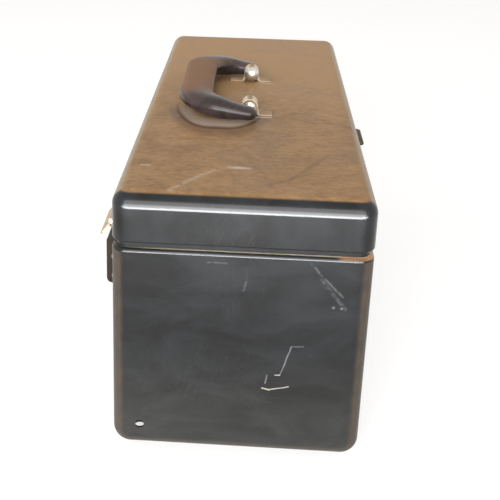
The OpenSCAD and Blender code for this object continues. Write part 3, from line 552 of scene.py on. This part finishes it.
# One drawn mark from Start to End; the same point twice makes a chip.
def makeMark():
    tree, given, made = newGroup("drawnMark", {"Point": origin, "Normal": origin, "Facing": (0.0, 0.0, 1.0),
        "Start": origin, "End": (0.0, 0.0, 1.0), "Width": 0.001, "Wobble": 0.002, "Gaps": 0.5})
    point = given["Point"]
    swayScale, gapScale, coreShare, gapBelow, gapAbove = 90.0, 260.0, 0.2, 0.2, 0.05
    turnedAway, facing, shortest, middle = 0.2, 0.6, 1e-8, (0.5, 0.5, 0.5)
    outward = vectorCalc(tree, "DOT_PRODUCT", given["Normal"], given["Facing"])
    outward = step(tree, outward, turnedAway, facing)
    sway = addNode(tree, "ShaderNodeTexNoise", {"Vector": point, "Scale": swayScale,
        "Detail": 2.0}).outputs["Color"]
    shift = vectorCalc(tree, "SCALE", vectorCalc(tree, "SUBTRACT", sway, middle), given["Wobble"])
    along = vectorCalc(tree, "SUBTRACT", given["End"], given["Start"])
    away = vectorCalc(tree, "SUBTRACT", vectorCalc(tree, "ADD", point, shift), given["Start"])
    length = calc(tree, "MAXIMUM", vectorCalc(tree, "DOT_PRODUCT", along, along), shortest)
    share = calc(tree, "DIVIDE", vectorCalc(tree, "DOT_PRODUCT", away, along), length, clamp=True)
    gap = vectorCalc(tree, "DISTANCE", away, vectorCalc(tree, "SCALE", along, share))
    line = step(tree, gap, given["Width"], product(tree, given["Width"], coreShare))
    broken = step(tree, noise(tree, point, gapScale, detail=3.0),
        minus(tree, given["Gaps"], gapBelow), plus(tree, given["Gaps"], gapAbove))
    feed(tree, made, product(tree, line, broken, outward))
    return tree


# A soft band a set distance outside a rounded outline, seen from above, on one side of it: the handle's
# painted shadow and painted reflection on the lid.
def makePaintedHandleShadow():
    tree, given, made = newGroup("paintedHandleShadow", {"Point": origin, "Normal": origin, "Center": origin,
        "Half": origin, "Corner": 0.03, "Squeeze": (1.0, 1.0, 1.0), "Inner": 0.0, "Outer": 0.01,
        "From": 0.03})
    softShare, sideSpan, patchScale, patchShare, least = 0.35, 0.03, 120.0, 0.6, 0.55
    steep, flat = 0.5, 0.9
    offset = vectorCalc(tree, "ABSOLUTE", vectorCalc(tree, "SUBTRACT", given["Point"], given["Center"]))
    offset = vectorCalc(tree, "MULTIPLY", offset, given["Squeeze"])
    corner = joinVector(tree, given["Corner"], given["Corner"], 0.0)
    past = vectorCalc(tree, "ADD", vectorCalc(tree, "SUBTRACT", offset, given["Half"]), corner)
    past = vectorCalc(tree, "MULTIPLY", vectorCalc(tree, "MAXIMUM", past, origin), (1.0, 1.0, 0.0))
    reach = minus(tree, vectorCalc(tree, "LENGTH", past), given["Corner"])
    soft = product(tree, minus(tree, given["Outer"], given["Inner"]), softShare)
    inside = step(tree, reach, minus(tree, given["Inner"], soft), plus(tree, given["Inner"], soft))
    outside = step(tree, reach, plus(tree, given["Outer"], soft), minus(tree, given["Outer"], soft))
    side = step(tree, splitVector(tree, given["Point"])[0], given["From"],
        plus(tree, given["From"], sideSpan))
    patches = noise(tree, given["Point"], patchScale, roughness=0.6)
    patchy = plus(tree, product(tree, patches, patchShare), least, clamp=True)
    upward = step(tree, splitVector(tree, given["Normal"])[2], steep, flat)
    feed(tree, made, product(tree, inside, outside, side, patchy, upward))
    return tree


surfaceDustAndSheen, edgeRubAndShade, rustSpots = makeDustAndSheen(), makeEdgeRubAndShade(), makeRust()
fineScratches, drawnMark, paintedHandleShadow = makeScratches(), makeMark(), makePaintedHandleShadow()


def startMaterial(name, look):
    material = bpy.data.materials.new(name)
    material.use_nodes = True
    tree = material.node_tree
    shader = tree.nodes["Principled BSDF"]
    shader.inputs["Specular IOR Level"].default_value = look["gloss"]
    place = addNode(tree, "ShaderNodeTexCoord").outputs
    return material, tree, shader, place["Object"], place["Normal"]


def addBump(tree, shader, height, strength, distance):
    node = addNode(tree, "ShaderNodeBump", {"Strength": strength, "Distance": distance, "Height": height})
    feed(tree, shader.inputs["Normal"], node.outputs[0])


def dustAndSheenOn(tree, point, normal, look):
    return useGroup(tree, surfaceDustAndSheen, Point=point, Normal=normal, Amount=look["dust"],
        Steep=look["dustSteep"], Flat=look["dustFlat"], Scale=look["dustScale"])


# Black enamel: haze, rubbed edges, dust on top, scratches, drawn marks and rust, with painted light: a
# lighter far end to the dust as painted sheen, a lighter bottom as painted floor reflection, and the handle's
# painted shadow and reflection.
def enamel(name, look):
    rippleScale, peelScale, peelHeight, rustDepth = 9.0, 900.0, 0.02, -0.03
    bumpStrength, bumpDepth = 1.0, 0.002
    farStart, farEnd, grainShare, smearShare, toneLow, toneHigh = 0.15, -0.25, 0.55, 0.45, 0.3, 0.7
    hazeLow, hazeHigh, lowShare, lowLeast = 0.3, 0.75, 0.5, 0.5
    material, tree, shader, point, normal = startMaterial(name, look)
    x, y, z = splitVector(tree, point)
    haze = noise(tree, stretch(tree, point, look["hazeStretch"]), look["hazeScale"], detail=6.0,
        roughness=0.65, distortion=0.6)
    haze = step(tree, haze, hazeLow, hazeHigh)
    # Painted reflection of the floor: the paint turns lighter towards the bottom, patchy with the haze.
    low = step(tree, z, look["lowHeight"], 0.0)
    color = mixColor(tree, product(tree, haze, look["haze"]), look["paint"], look["hazeColor"])
    low = product(tree, low, plus(tree, product(tree, haze, lowShare), lowLeast))
    color = mixColor(tree, product(tree, low, look["lowFloorReflection"]), color, look["floorReflectionColor"])
    rub = useGroup(tree, edgeRubAndShade, Point=point, Normal=normal, Axes=look["rubAxes"], Away=look["rubAway"],
        Amount=look["rub"], Rise=look["rubRise"], Scale=look["rubScale"])
    color = mixColor(tree, rub, color, look["rubColor"])
    dust = dustAndSheenOn(tree, point, normal, look)
    dust = product(tree, dust, step(tree, y, look["dustFrom"], look["dustTo"]))
    grain = noise(tree, stretch(tree, point, look["grainStretch"]), look["grainScale"], detail=8.0,
        roughness=0.7, distortion=0.3)
    smear = noise(tree, point, look["smearScale"], detail=5.0, roughness=0.6, distortion=2.5)
    # Painted sheen: the dust's colour turns lighter towards the far end, standing in for reflection.
    paintedSheen = product(tree, step(tree, x, farStart, farEnd), look["farPaintedSheen"])
    tone = plus(tree, plus(tree, product(tree, grain, grainShare), product(tree, smear, smearShare)), paintedSheen)
    tone = mixColor(tree, step(tree, tone, toneLow, toneHigh), look["dustDark"], look["dustColor"])
    color = mixColor(tree, dust, color, tone)
    scratches = useGroup(tree, fineScratches, Point=point, Amount=look["scratches"],
        Scale=look["scratchScale"])
    color = mixColor(tree, product(tree, scratches, look["scratchStrength"]), color, look["scratchColor"])
    # Painted shadow and painted reflection of the handle: dark bands and a pale band on the lid around it.
    for inner, outer, strength, tint in look["handleShadows"]:
        rest = useGroup(tree, paintedHandleShadow, Point=point, Normal=normal, Center=look["handleShadowCenter"],
            Half=look["handleShadowHalf"], Corner=look["handleShadowCorner"], Squeeze=look["handleShadowSqueeze"], Inner=inner,
            Outer=outer)
        color = mixColor(tree, product(tree, rest, strength), color, tint)
    for start, end, width, strength, tint, gaps in look["marks"]:
        mark = useGroup(tree, drawnMark, Point=point, Normal=normal, Facing=look["markFacing"],
            Start=start, End=end, Width=width, Gaps=gaps)
        color = mixColor(tree, product(tree, mark, strength), color, tint)
    rust = useGroup(tree, rustSpots, Point=point, Amount=look["rust"], Scale=look["rustScale"])
    color = mixColor(tree, product(tree, rust, look["rustStrength"]), color, look["rustColor"])
    feed(tree, shader.inputs["Base Color"], color)
    cover = calc(tree, "MAXIMUM", calc(tree, "MAXIMUM", dust, rub), rust, clamp=True)
    rough = plus(tree, look["roughness"], product(tree, haze, look["hazeRoughness"]))
    feed(tree, shader.inputs["Roughness"], mixValue(tree, cover, rough, look["dustRoughness"]))
    feed(tree, shader.inputs["Coat Weight"], mixValue(tree, cover, look["coat"], look["dustCoat"]))
    shader.inputs["Coat Roughness"].default_value = look["coatRoughness"]
    ripple = product(tree, noise(tree, point, rippleScale, detail=2.0, roughness=0.5), look["ripple"])
    peel = product(tree, noise(tree, point, peelScale, detail=2.0, roughness=0.5), peelHeight)
    height = plus(tree, plus(tree, ripple, peel), product(tree, rust, rustDepth))
    addBump(tree, shader, height, bumpStrength, bumpDepth)
    return material


# Bare or plated steel with tarnish, rust, dust and fine scratches.
def steel(name, look):
    rubScale, scratchAmount, dustRoughness, tarnishLow, tarnishHigh = 300.0, 0.7, 0.8, 0.3, 0.75
    tarnishRoughness, scratchRoughness, grainScale, grainHeight, rustHeight = 0.2, 0.15, 700.0, 0.05, 0.1
    bumpStrength, bumpDepth = 0.6, 0.001
    material, tree, shader, point, normal = startMaterial(name, look)
    tarnish = noise(tree, point, look["tarnishScale"], detail=6.0, roughness=0.7, distortion=0.5)
    tarnish = step(tree, tarnish, tarnishLow, tarnishHigh)
    color = mixColor(tree, product(tree, tarnish, look["tarnish"]), look["metal"], look["tarnishColor"])
    rub = useGroup(tree, edgeRubAndShade, Point=point, Normal=normal, Axes=look["rubAxes"], Amount=look["rub"],
        Scale=rubScale)
    color = mixColor(tree, rub, color, look["rubColor"])
    rust = useGroup(tree, rustSpots, Point=point, Amount=look["rust"], Scale=look["rustScale"])
    color = mixColor(tree, rust, color, look["rustColor"])
    dust = dustAndSheenOn(tree, point, normal, look)
    color = mixColor(tree, dust, color, look["dustColor"])
    feed(tree, shader.inputs["Base Color"], color)
    cover = calc(tree, "MAXIMUM", rust, dust)
    feed(tree, shader.inputs["Metallic"], product(tree, look["metallic"], minus(tree, 1.0, cover)))
    scratches = useGroup(tree, fineScratches, Point=point, Amount=scratchAmount, Scale=look["scratchScale"])
    rough = plus(tree, look["roughness"], product(tree, tarnish, tarnishRoughness))
    rough = plus(tree, rough, product(tree, scratches, scratchRoughness))
    feed(tree, shader.inputs["Roughness"], mixValue(tree, cover, rough, dustRoughness))
    height = plus(tree, product(tree, noise(tree, point, grainScale), grainHeight),
        product(tree, rust, rustHeight))
    addBump(tree, shader, height, bumpStrength, bumpDepth)
    return material


# Moulded plastic, mottled, with dust on top that ends towards the arms.
def moulded(name, look):
    scratchAmount, scratchScale, scratchStrength, mottleLow, mottleHigh = 0.8, 2.5, 0.4, 0.35, 0.7
    grainScale, grainHeight, mottleHeight, bumpStrength, bumpDepth = 500.0, 0.05, 0.1, 0.5, 0.001
    material, tree, shader, point, normal = startMaterial(name, look)
    mottle = noise(tree, point, look["mottleScale"], detail=6.0, roughness=0.65, distortion=0.5)
    color = mixColor(tree, step(tree, mottle, mottleLow, mottleHigh), look["plastic"], look["mottleColor"])
    dust = dustAndSheenOn(tree, point, normal, look)
    side = calc(tree, "ABSOLUTE", splitVector(tree, point)[0])
    dust = product(tree, dust, step(tree, side, look["dustEnd"], look["dustStart"]))
    color = mixColor(tree, dust, color, look["dustColor"])
    scratches = useGroup(tree, fineScratches, Point=point, Amount=scratchAmount, Scale=scratchScale)
    color = mixColor(tree, product(tree, scratches, scratchStrength), color, look["dustColor"])
    feed(tree, shader.inputs["Base Color"], color)
    feed(tree, shader.inputs["Roughness"], mixValue(tree, dust, look["roughness"], look["dustRoughness"]))
    height = plus(tree, product(tree, noise(tree, point, grainScale), grainHeight),
        product(tree, mottle, mottleHeight))
    addBump(tree, shader, height, bumpStrength, bumpDepth)
    return material


# Colours, axes and levels that the looks share.
pale, tan, grey = (0.62, 0.58, 0.52), (0.45, 0.34, 0.22), (0.3, 0.31, 0.33)
brown, rusty = (0.12, 0.07, 0.04), (0.2, 0.07, 0.03)
alongX, alongZ = 0, 2
endFace, shoulderTop, lidTop = 0.251, 0.158, 0.198


# Marks on a flat face, each with two points on it, a width, a strength, a colour and its gaps.
def marksOn(axis, level, rows):
    def place(point):
        return (*point[:axis], level, *point[axis:])

    return [(place(start), place(end), *rest) for start, end, *rest in rows]


# On the lid the brown dust on top is partly dust and partly a painted warm reflection, carried down onto the
# rounded edges.
lidLook = {
    "paint": (0.001, 0.0011, 0.0012), "hazeColor": (0.012, 0.0142, 0.017), "haze": 1.0, "hazeScale": 30.0,
    "hazeStretch": (1.0, 1.0, 1.0), "hazeRoughness": 0.08, "lowHeight": 0.05, "lowFloorReflection": 0.0,
    "floorReflectionColor": (0.1, 0.1, 0.098), "scratches": 0.8, "scratchScale": 1.0, "scratchStrength": 0.35,
    "scratchColor": (0.3, 0.22, 0.15), "dust": 1.0, "dustScale": 10.0, "dustSteep": 0.8, "dustFlat": 0.92,
    "dustRoughness": 0.65, "dustCoat": 0.12, "dustFrom": -2.0, "dustTo": -1.0,
    "dustColor": (0.35, 0.212, 0.1), "dustDark": (0.19, 0.108, 0.047), "farPaintedSheen": 0.3, "grainScale": 260.0,
    "grainStretch": (1.0, 0.6, 1.0), "smearScale": 14.0, "rub": 0.7, "rubAxes": (0.0, 1.0, 0.0),
    "rubAway": (1.0, 0.0, 0.0), "rubRise": 0.2, "rubScale": 60.0, "rubColor": (0.42, 0.3, 0.15),
    "rust": 0.15, "rustScale": 60.0, "rustStrength": 0.8, "rustColor": (0.16, 0.07, 0.03),
    "roughness": 0.3, "gloss": 0.15, "coat": 0.55, "coatRoughness": 0.14, "ripple": 0.3,
    "handleShadowCenter": (0.0, -0.024, lidTop), "handleShadowHalf": (0.0835, 0.076, 0.0), "handleShadowCorner": 0.06,
    "handleShadowSqueeze": (1.0, 2.4, 1.0),
    # The brown and dark bands are the handle's painted shadow and reflection; the pale band under it is a
    # painted reflection.
    "handleShadows": ((0.012, 0.034, 0.6, (0.12, 0.07, 0.055)), (0.012, 0.018, 0.9, (0.04, 0.024, 0.02)),
        (-0.008, 0.011, 0.95, (0.4, 0.33, 0.28))),
    "markFacing": (0.0, 0.0, 1.0),
    "marks": marksOn(alongZ, lidTop, (
        ((0.1926, -0.012), (0.1922, 0.002), 0.0045, 0.35, pale, 0.5),
        ((0.1926, -0.008), (0.1922, -0.002), 0.0022, 0.5, pale, 0.4),
        ((0.1946, -0.074), (0.1940, -0.069), 0.0016, 0.5, pale, 0.4),
        ((0.242, -0.05), (0.215, -0.034), 0.003, 0.22, pale, 0.48),
        ((0.215, -0.034), (0.199, -0.022), 0.003, 0.22, pale, 0.48),
        ((0.213, 0.0305), (0.155, 0.061), 0.003, 0.4, brown, 0.45),
        ((0.228, 0.012), (0.199, 0.045), 0.0025, 0.35, brown, 0.45),
        ((0.0645, 0.004), (0.0645, 0.017), 0.0022, 0.9, pale, 0.25),
        ((-0.047, 0.006), (-0.047, 0.019), 0.0022, 0.8, pale, 0.25),
        ((0.0657, 0.054), (0.0657, 0.062), 0.0025, 0.5, rusty, 0.45),
        ((0.2247, -0.066), (0.2247, -0.064), 0.0016, 0.6, rusty, 0.35),
    )),
}
endLook = {
    **lidLook, "paint": (0.001, 0.0012, 0.0014), "hazeColor": (0.013, 0.0152, 0.018), "hazeScale": 38.0,
    # The lighter bottom of the end pans, wrap and tray is a painted reflection of the floor.
    "hazeStretch": (1.0, 0.4, 1.0), "lowHeight": 0.1, "lowFloorReflection": 1.0, "floorReflectionColor": (0.045, 0.045, 0.042),
    # The brown rub on the end pans' rounded corners is partly rubbed paint and partly painted shading of the
    # rounding.
    "handleShadows": (), "rub": 0.8, "rubRise": -1.3, "rubAxes": (1.0, 0.0, 0.0), "rubAway": origin,
    "rubColor": (0.1, 0.075, 0.055), "dust": 0.5, "rust": 0.05, "scratchColor": grey, "scratchStrength": 0.14,
    "markFacing": (1.0, 0.0, 0.0), "marks": marksOn(alongX, endFace, (
        ((0.0449, 0.09), (0.0369, 0.0895), 0.0007, 0.35, grey, 0.4),
        ((0.0369, 0.0895), (0.03, 0.0665), 0.0007, 0.55, grey, 0.35),
        ((0.03, 0.0665), (0.0266, 0.0663), 0.0007, 0.7, pale, 0.3),
        ((0.0208, 0.0659), (0.0199, 0.0591), 0.0008, 0.5, grey, 0.4),
        ((0.0178, 0.0549), (0.0225, 0.0538), 0.0008, 0.8, pale, 0.3),
        ((0.0225, 0.0538), (0.0363, 0.0574), 0.0007, 0.8, pale, 0.35),
        ((0.0469, 0.1523), (0.0692, 0.1289), 0.0012, 0.28, grey, 0.56),
        ((0.0542, 0.1416), (0.0712, 0.1199), 0.002, 0.2, grey, 0.56),
        ((0.0628, 0.121), (0.0632, 0.121), 0.0014, 0.5, grey, 0.25),
        ((0.0685, 0.1205), (0.0689, 0.1205), 0.0014, 0.5, grey, 0.25),
        ((0.0034, 0.1373), (0.002, 0.131), 0.0012, 0.18, grey, 0.48),
        ((-0.0227, 0.1508), (-0.01, 0.15), 0.001, 0.18, grey, 0.54),
    )),
}
wrapLook = {**endLook, "marks": (), "hazeStretch": (0.45, 1.0, 1.0), "rubAxes": (0.0, 1.0, 0.0)}
# The ledge's pale dust is partly dust and partly painted light, pale so that the ledge shaded by the lid
# reads bright.
rimLook = {
    **endLook, "rub": 0.0, "dust": 1.0, "dustSteep": 0.9, "dustFlat": 0.97, "dustFrom": -0.1, "dustTo": -0.03,
    "dustColor": (0.75, 0.62, 0.47), "dustDark": (0.55, 0.43, 0.3), "dustCoat": 0.05, "rust": 0.35,
    "rustColor": (0.4, 0.15, 0.05), "lowFloorReflection": 0.0, "markFacing": (0.0, 0.0, 1.0),
    "marks": marksOn(alongZ, shoulderTop, (
        ((0.246, 0.07), (0.244, 0.088), 0.009, 0.7, (0.5, 0.27, 0.13), 0.3),
    )),
}
trayLook = {**endLook, "marks": (), "dust": 0.3, "rub": 0.5, "rubColor": (0.16, 0.13, 0.1)}
catchLook = {
    "metal": (0.018, 0.011, 0.0065), "tarnishColor": (0.012, 0.008, 0.005), "tarnish": 0.8,
    "tarnishScale": 60.0, "rust": 0.4, "rustScale": 120.0, "rustColor": (0.07, 0.035, 0.018), "dust": 0.2,
    "dustSteep": 0.5, "dustFlat": 0.97, "dustScale": 40.0, "dustColor": (0.4, 0.32, 0.23), "rub": 0.3,
    "rubColor": tan, "rubAxes": (1.0, 1.0, 0.0), "metallic": 0.3, "roughness": 0.45, "gloss": 0.2,
    "scratchScale": 3.0,
}
flapLook = {**catchLook, "metal": (0.5, 0.4, 0.29), "tarnishColor": (0.25, 0.18, 0.12), "tarnish": 0.7,
    "rust": 0.25, "dust": 0.4}
loopLook = {**catchLook, "metal": (0.4, 0.3, 0.2), "tarnishColor": (0.24, 0.16, 0.1), "rub": 0.9,
    "rubAxes": (0.0, 1.0, 0.0), "rubColor": (0.75, 0.68, 0.56), "dustColor": (0.3, 0.19, 0.11),
    "dust": 0.4, "dustSteep": 0.9}
steelLook = {**catchLook, "metal": (0.45, 0.42, 0.38), "tarnish": 0.5, "rust": 0.35, "metallic": 0.8,
    "dust": 0.4}
pinLook = {**steelLook, "metal": (0.75, 0.72, 0.66), "tarnish": 0.4, "rust": 0.45, "roughness": 0.3,
    "metallic": 0.95, "dust": 0.1}
gripLook = {
    "plastic": (0.018, 0.014, 0.014), "mottleColor": (0.06, 0.043, 0.042), "mottleScale": 40.0,
    "dust": 0.8, "dustSteep": 0.15, "dustFlat": 0.9, "dustScale": 30.0, "dustColor": (0.22, 0.11, 0.05),
    "roughness": 0.22, "gloss": 0.3, "dustRoughness": 0.75, "dustStart": 0.04, "dustEnd": 0.075,
}
finishes = {
    "lid": enamel("lidEnamel", lidLook),
    "end": enamel("endEnamel", endLook),
    "wrap": enamel("wrapEnamel", wrapLook),
    "rim": enamel("rimEnamel", rimLook),
    "tray": enamel("trayEnamel", trayLook),
    "catch": steel("catchSteel", catchLook),
    "flap": steel("flapSteel", flapLook),
    "loop": steel("loopSteel", loopLook),
    "steel": steel("agedSteel", steelLook),
    "pin": steel("brightSteel", pinLook),
    "grip": moulded("mouldedGrip", gripLook),
}


def bothSides(name):
    return [name + "_right", name + "_left"]


wearers = {
    "lid": ["lid_shell", "lid_stiffener"],
    "end": bothSides("end_pan"),
    "wrap": ["body_wrap", *bothSides("tray_ledge")],
    "rim": ["body_rim"],
    "tray": ["tray_pan", "tray_bridge", *bothSides("tray_divider")],
    "catch": [*bothSides("catch_case"), "lid_stop"],
    "flap": [*bothSides("latch_flap"), *bothSides("flap_leaf")],
    "loop": bothSides("handle_loop"),
    "steel": ["hinge_leaf_body", "hinge_leaf_lid", "hinge_rivets_body", "hinge_rivets_lid",
        "catch_case_rivets", "lid_stop_rivets", "flap_leaf_rivets"],
    "pin": ["hinge_pin", *bothSides("thumb_slide"), *bothSides("flap_pin"), *bothSides("handle_pin"),
        "tray_bail"],
    "grip": ["handle_grip", "tray_bail_sleeve"],
}
for finish, names in wearers.items():
    for name in names:
        nodes[name].data.materials.clear()
        nodes[name].data.materials.append(finishes[finish])
print("materials assigned")

# Each grown piece takes the place of the plain ones that it names.
rivets, hingeLeaf, handle, loops, bail = makeRivets(), makeHingeLeaf(), makeHandle(), makeLoops(), makeBail()
outBack, outFront = (-math.pi / 2, 0.0, 0.0), (math.pi / 2, 0.0, 0.0)
hingeRow = {"Columns": 6, "ColumnStep": (0.066, 0.0, 0.0), "Facing": outBack}
catchPair = {"Columns": 2, "Groups": 2, "GroupStep": (0.404, 0.0, 0.0), "Facing": outFront}
rivetRows = {
    "bodyHingeRivets": ("case", "steel", "hinge_rivets_body", {
        **hingeRow, "First": (-0.165, 0.0902, 0.14892), "Grip": 0.0036}),
    "lidHingeRivets": ("lid", "steel", "hinge_rivets_lid", {
        **hingeRow, "First": (-0.165, 0.0902, 0.17108), "Grip": 0.0024}),
    "lidStopRivets": ("lid", "steel", "lid_stop_rivets", {
        "Columns": 2, "First": (-0.015, 0.0902, 0.1756), "ColumnStep": (0.03, 0.0, 0.0), "Facing": outBack,
        "Grip": 0.0024}),
    "catchRivets": ("case", "catch_steel", "catch_case_rivets", {
        **catchPair, "Rows": 2, "First": (-0.228, -0.09, 0.1265), "ColumnStep": (0.052, 0.0, 0.0),
        "RowStep": (0.0, 0.0, 0.015), "Grip": 0.0022}),
    "flapLeafRivets": ("lid", "catch_steel", "flap_leaf_rivets", {
        **catchPair, "First": (-0.213, -0.0902, 0.1765), "ColumnStep": (0.022, 0.0, 0.0), "Grip": 0.0024}),
}
for name, (body, slotName, replaced, row) in rivetRows.items():
    growPiece(name, rivets, {**rivetSizes, **row}, finishes["steel"], body, [replaced])
hingeCenter = (0.0, 0.0914, 0.16)
growPiece("bodyHingeLeaf", hingeLeaf, {**hingeSizes, "Center": hingeCenter}, finishes["steel"],
    "case", ["hinge_leaf_body"], 30.0)
growPiece("lidHingeLeaf", hingeLeaf, {**hingeSizes, "Center": hingeCenter, "Turn": (0.0, math.pi, 0.0),
    "NotchFrom": 0.0032}, finishes["steel"], "lid", ["hinge_leaf_lid"], 30.0)
growPiece("mouldedHandle", handle, handleSizes, finishes["grip"],
    "handle", ["handle_grip"], 60.0)
growPiece("handleLoops", loops, loopSizes, finishes["loop"],
    "lid", bothSides("handle_loop"), 30.0)
growPiece("trayBail", bail, bailSizes, finishes["pin"], "bail", ["tray_bail"])

# The camera's place, its lens and the way it looks.
cameraView = {
    "lens": 72.13, "sensorWidth": 36.0, "shiftX": 0.1204, "shiftY": -0.1, "place": (0.8629, 0.0036, 0.4349),
    "ahead": (-0.9293, -0.0598, -0.3644), "right": (-0.0643, 0.9979, 0.0), "roll": 1.20,
}
camera = addObject("camera", bpy.data.cameras.new("camera"))
scene.camera = camera
camera.data.lens = cameraView["lens"]
camera.data.sensor_width = cameraView["sensorWidth"]
camera.data.shift_x = cameraView["shiftX"]
camera.data.shift_y = cameraView["shiftY"]
ahead = Vector(cameraView["ahead"]).normalized()
levelRight = Vector(cameraView["right"]).normalized()
levelUp = levelRight.cross(ahead)
roll = math.radians(cameraView["roll"])
right = levelRight * math.cos(roll) + levelUp * math.sin(roll)
up = levelUp * math.cos(roll) - levelRight * math.sin(roll)
turn = Matrix((right, up, -ahead)).transposed()
camera.matrix_world = Matrix.Translation(cameraView["place"]) @ turn.to_4x4()
print("camera ready")

# The floor's size and colours, and the sky's.
stageLook = {
    "floorHalf": 6.0, "floorLevel": -0.0005, "paper": (0.5, 0.5, 0.5), "shaded": (0.3, 0.3, 0.3),
    "glow": 0.78, "warmLow": (0.8, 0.62, 0.42), "warmHigh": (0.2, 0.19, 0.18), "frontLow": (0.5, 0.5, 0.5),
    "frontHigh": (0.1, 0.1, 0.1), "warmRise": (0.1, 0.75), "frontRise": (0.0, 0.6), "frontTurn": (-0.1, 0.6),
    "skyStrength": 0.8, "white": (1, 1, 1),
}
half, level = stageLook["floorHalf"], stageLook["floorLevel"]
floorMesh = bpy.data.meshes.new("floor")
corners = [(-half, -half, level), (half, -half, level), (half, half, level), (-half, half, level)]
floorMesh.from_pydata(corners, [], [(0, 1, 2, 3)])
floor = addObject("floor", floorMesh)


# Light that scatters meets the first shader; camera, mirror and glass rays meet the second.
def splitByRay(tree, outputKind, scattered, seen):
    path = addNode(tree, "ShaderNodeLightPath").outputs
    direct = calc(tree, "MAXIMUM", path["Is Camera Ray"], path["Is Glossy Ray"])
    direct = calc(tree, "MAXIMUM", direct, path["Is Transmission Ray"])
    mixed = addNode(tree, "ShaderNodeMixShader")
    feedEach(tree, mixed.inputs, (direct, scattered, seen))
    feed(tree, addNode(tree, outputKind).inputs["Surface"], mixed.outputs[0])


def emptyTree(owner):
    owner.use_nodes = True
    owner.node_tree.nodes.clear()
    return owner.node_tree


floorMaterial = bpy.data.materials.new("floorMaterial")
floorTree = emptyTree(floorMaterial)
paper = outputOf(floorTree, "ShaderNodeBsdfDiffuse", {"Color": stageLook["paper"]})
shaded = outputOf(floorTree, "ShaderNodeBsdfDiffuse", {"Color": stageLook["shaded"]})
glow = outputOf(floorTree, "ShaderNodeEmission", {"Color": stageLook["white"], "Strength": stageLook["glow"]})
bright = addNode(floorTree, "ShaderNodeAddShader")
feed(floorTree, bright.inputs[0], shaded)
feed(floorTree, bright.inputs[1], glow)
splitByRay(floorTree, "ShaderNodeOutputMaterial", paper, bright.outputs[0])
floorMesh.materials.append(floorMaterial)

world = bpy.data.worlds.new("studio")
scene.world = world
worldTree = emptyTree(world)
heading = splitVector(worldTree, addNode(worldTree, "ShaderNodeTexCoord").outputs["Generated"])
warmRise = step(worldTree, heading[2], *stageLook["warmRise"])
warm = mixColor(worldTree, warmRise, stageLook["warmLow"], stageLook["warmHigh"])
frontRise = step(worldTree, heading[2], *stageLook["frontRise"])
front = mixColor(worldTree, frontRise, stageLook["frontLow"], stageLook["frontHigh"])
sky = mixColor(worldTree, step(worldTree, heading[0], *stageLook["frontTurn"]), warm, front)
around = outputOf(worldTree, "ShaderNodeBackground", {"Color": sky, "Strength": stageLook["skyStrength"]})
white = outputOf(worldTree, "ShaderNodeBackground", {"Color": stageLook["white"], "Strength": 1.0})
splitByRay(worldTree, "ShaderNodeOutputWorld", around, white)

# The strips only show as bright bands in the enamel, and the other lamps only light paint and dust.
strips = ("floorStrip", "frontStrip", "frontUpper")
lamps = {
    "overhead": {"place": (-1.2, 0.0, 2.2), "aim": (0, 0, 0.15), "size": (2.0, 1.6), "power": 16.0,
        "color": (1.0, 0.97, 0.92)},
    "keyFront": {"place": (2.6, -0.4, 1.05), "aim": (0.1, 0, 0.15), "size": (1.2, 0.6), "power": 90.0,
        "color": (1.0, 0.99, 0.97)},
    "leftSide": {"place": (0.0, -2.0, 1.0), "aim": (0, 0, 0.1), "size": (1.4, 0.8), "power": 16.0,
        "color": (1.0, 0.93, 0.84)},
    "rightSide": {"place": (0.0, 2.0, 1.0), "aim": (0, 0, 0.1), "size": (1.4, 0.8), "power": 12.0,
        "color": (1.0, 0.93, 0.84)},
    "floorStrip": {"place": (1.4, 0.0, 0.001), "aim": (1.4, 0.001, 1.0), "size": (0.7, 2.0), "power": 205.0,
        "color": (0.95, 0.98, 1.0)},
    "frontStrip": {"place": (1.9, 0.0, 0.25), "aim": (0.25, 0.0, 0.2), "size": (2.4, 0.5), "power": 47.0,
        "color": (0.97, 0.98, 1.0)},
    "frontUpper": {"place": (1.9, 0.0, 0.95), "aim": (0.25, 0.0, 0.2), "size": (2.4, 0.9), "power": 28.0,
        "color": (1.0, 0.97, 0.95)},
}
for name, look in lamps.items():
    data = bpy.data.lights.new(name, "AREA")
    data.shape = "RECTANGLE"
    data.size, data.size_y = look["size"]
    data.energy, data.color = look["power"], look["color"]
    lamp = addObject(name, data)
    lamp.location = look["place"]
    lamp.rotation_mode = "QUATERNION"
    lamp.rotation_quaternion = (Vector(look["aim"]) - Vector(look["place"])).to_track_quat("-Z", "Y")
    lamp.visible_camera = False
    lamp.visible_glossy, lamp.visible_diffuse = name in strips, name not in strips
print("stage ready")
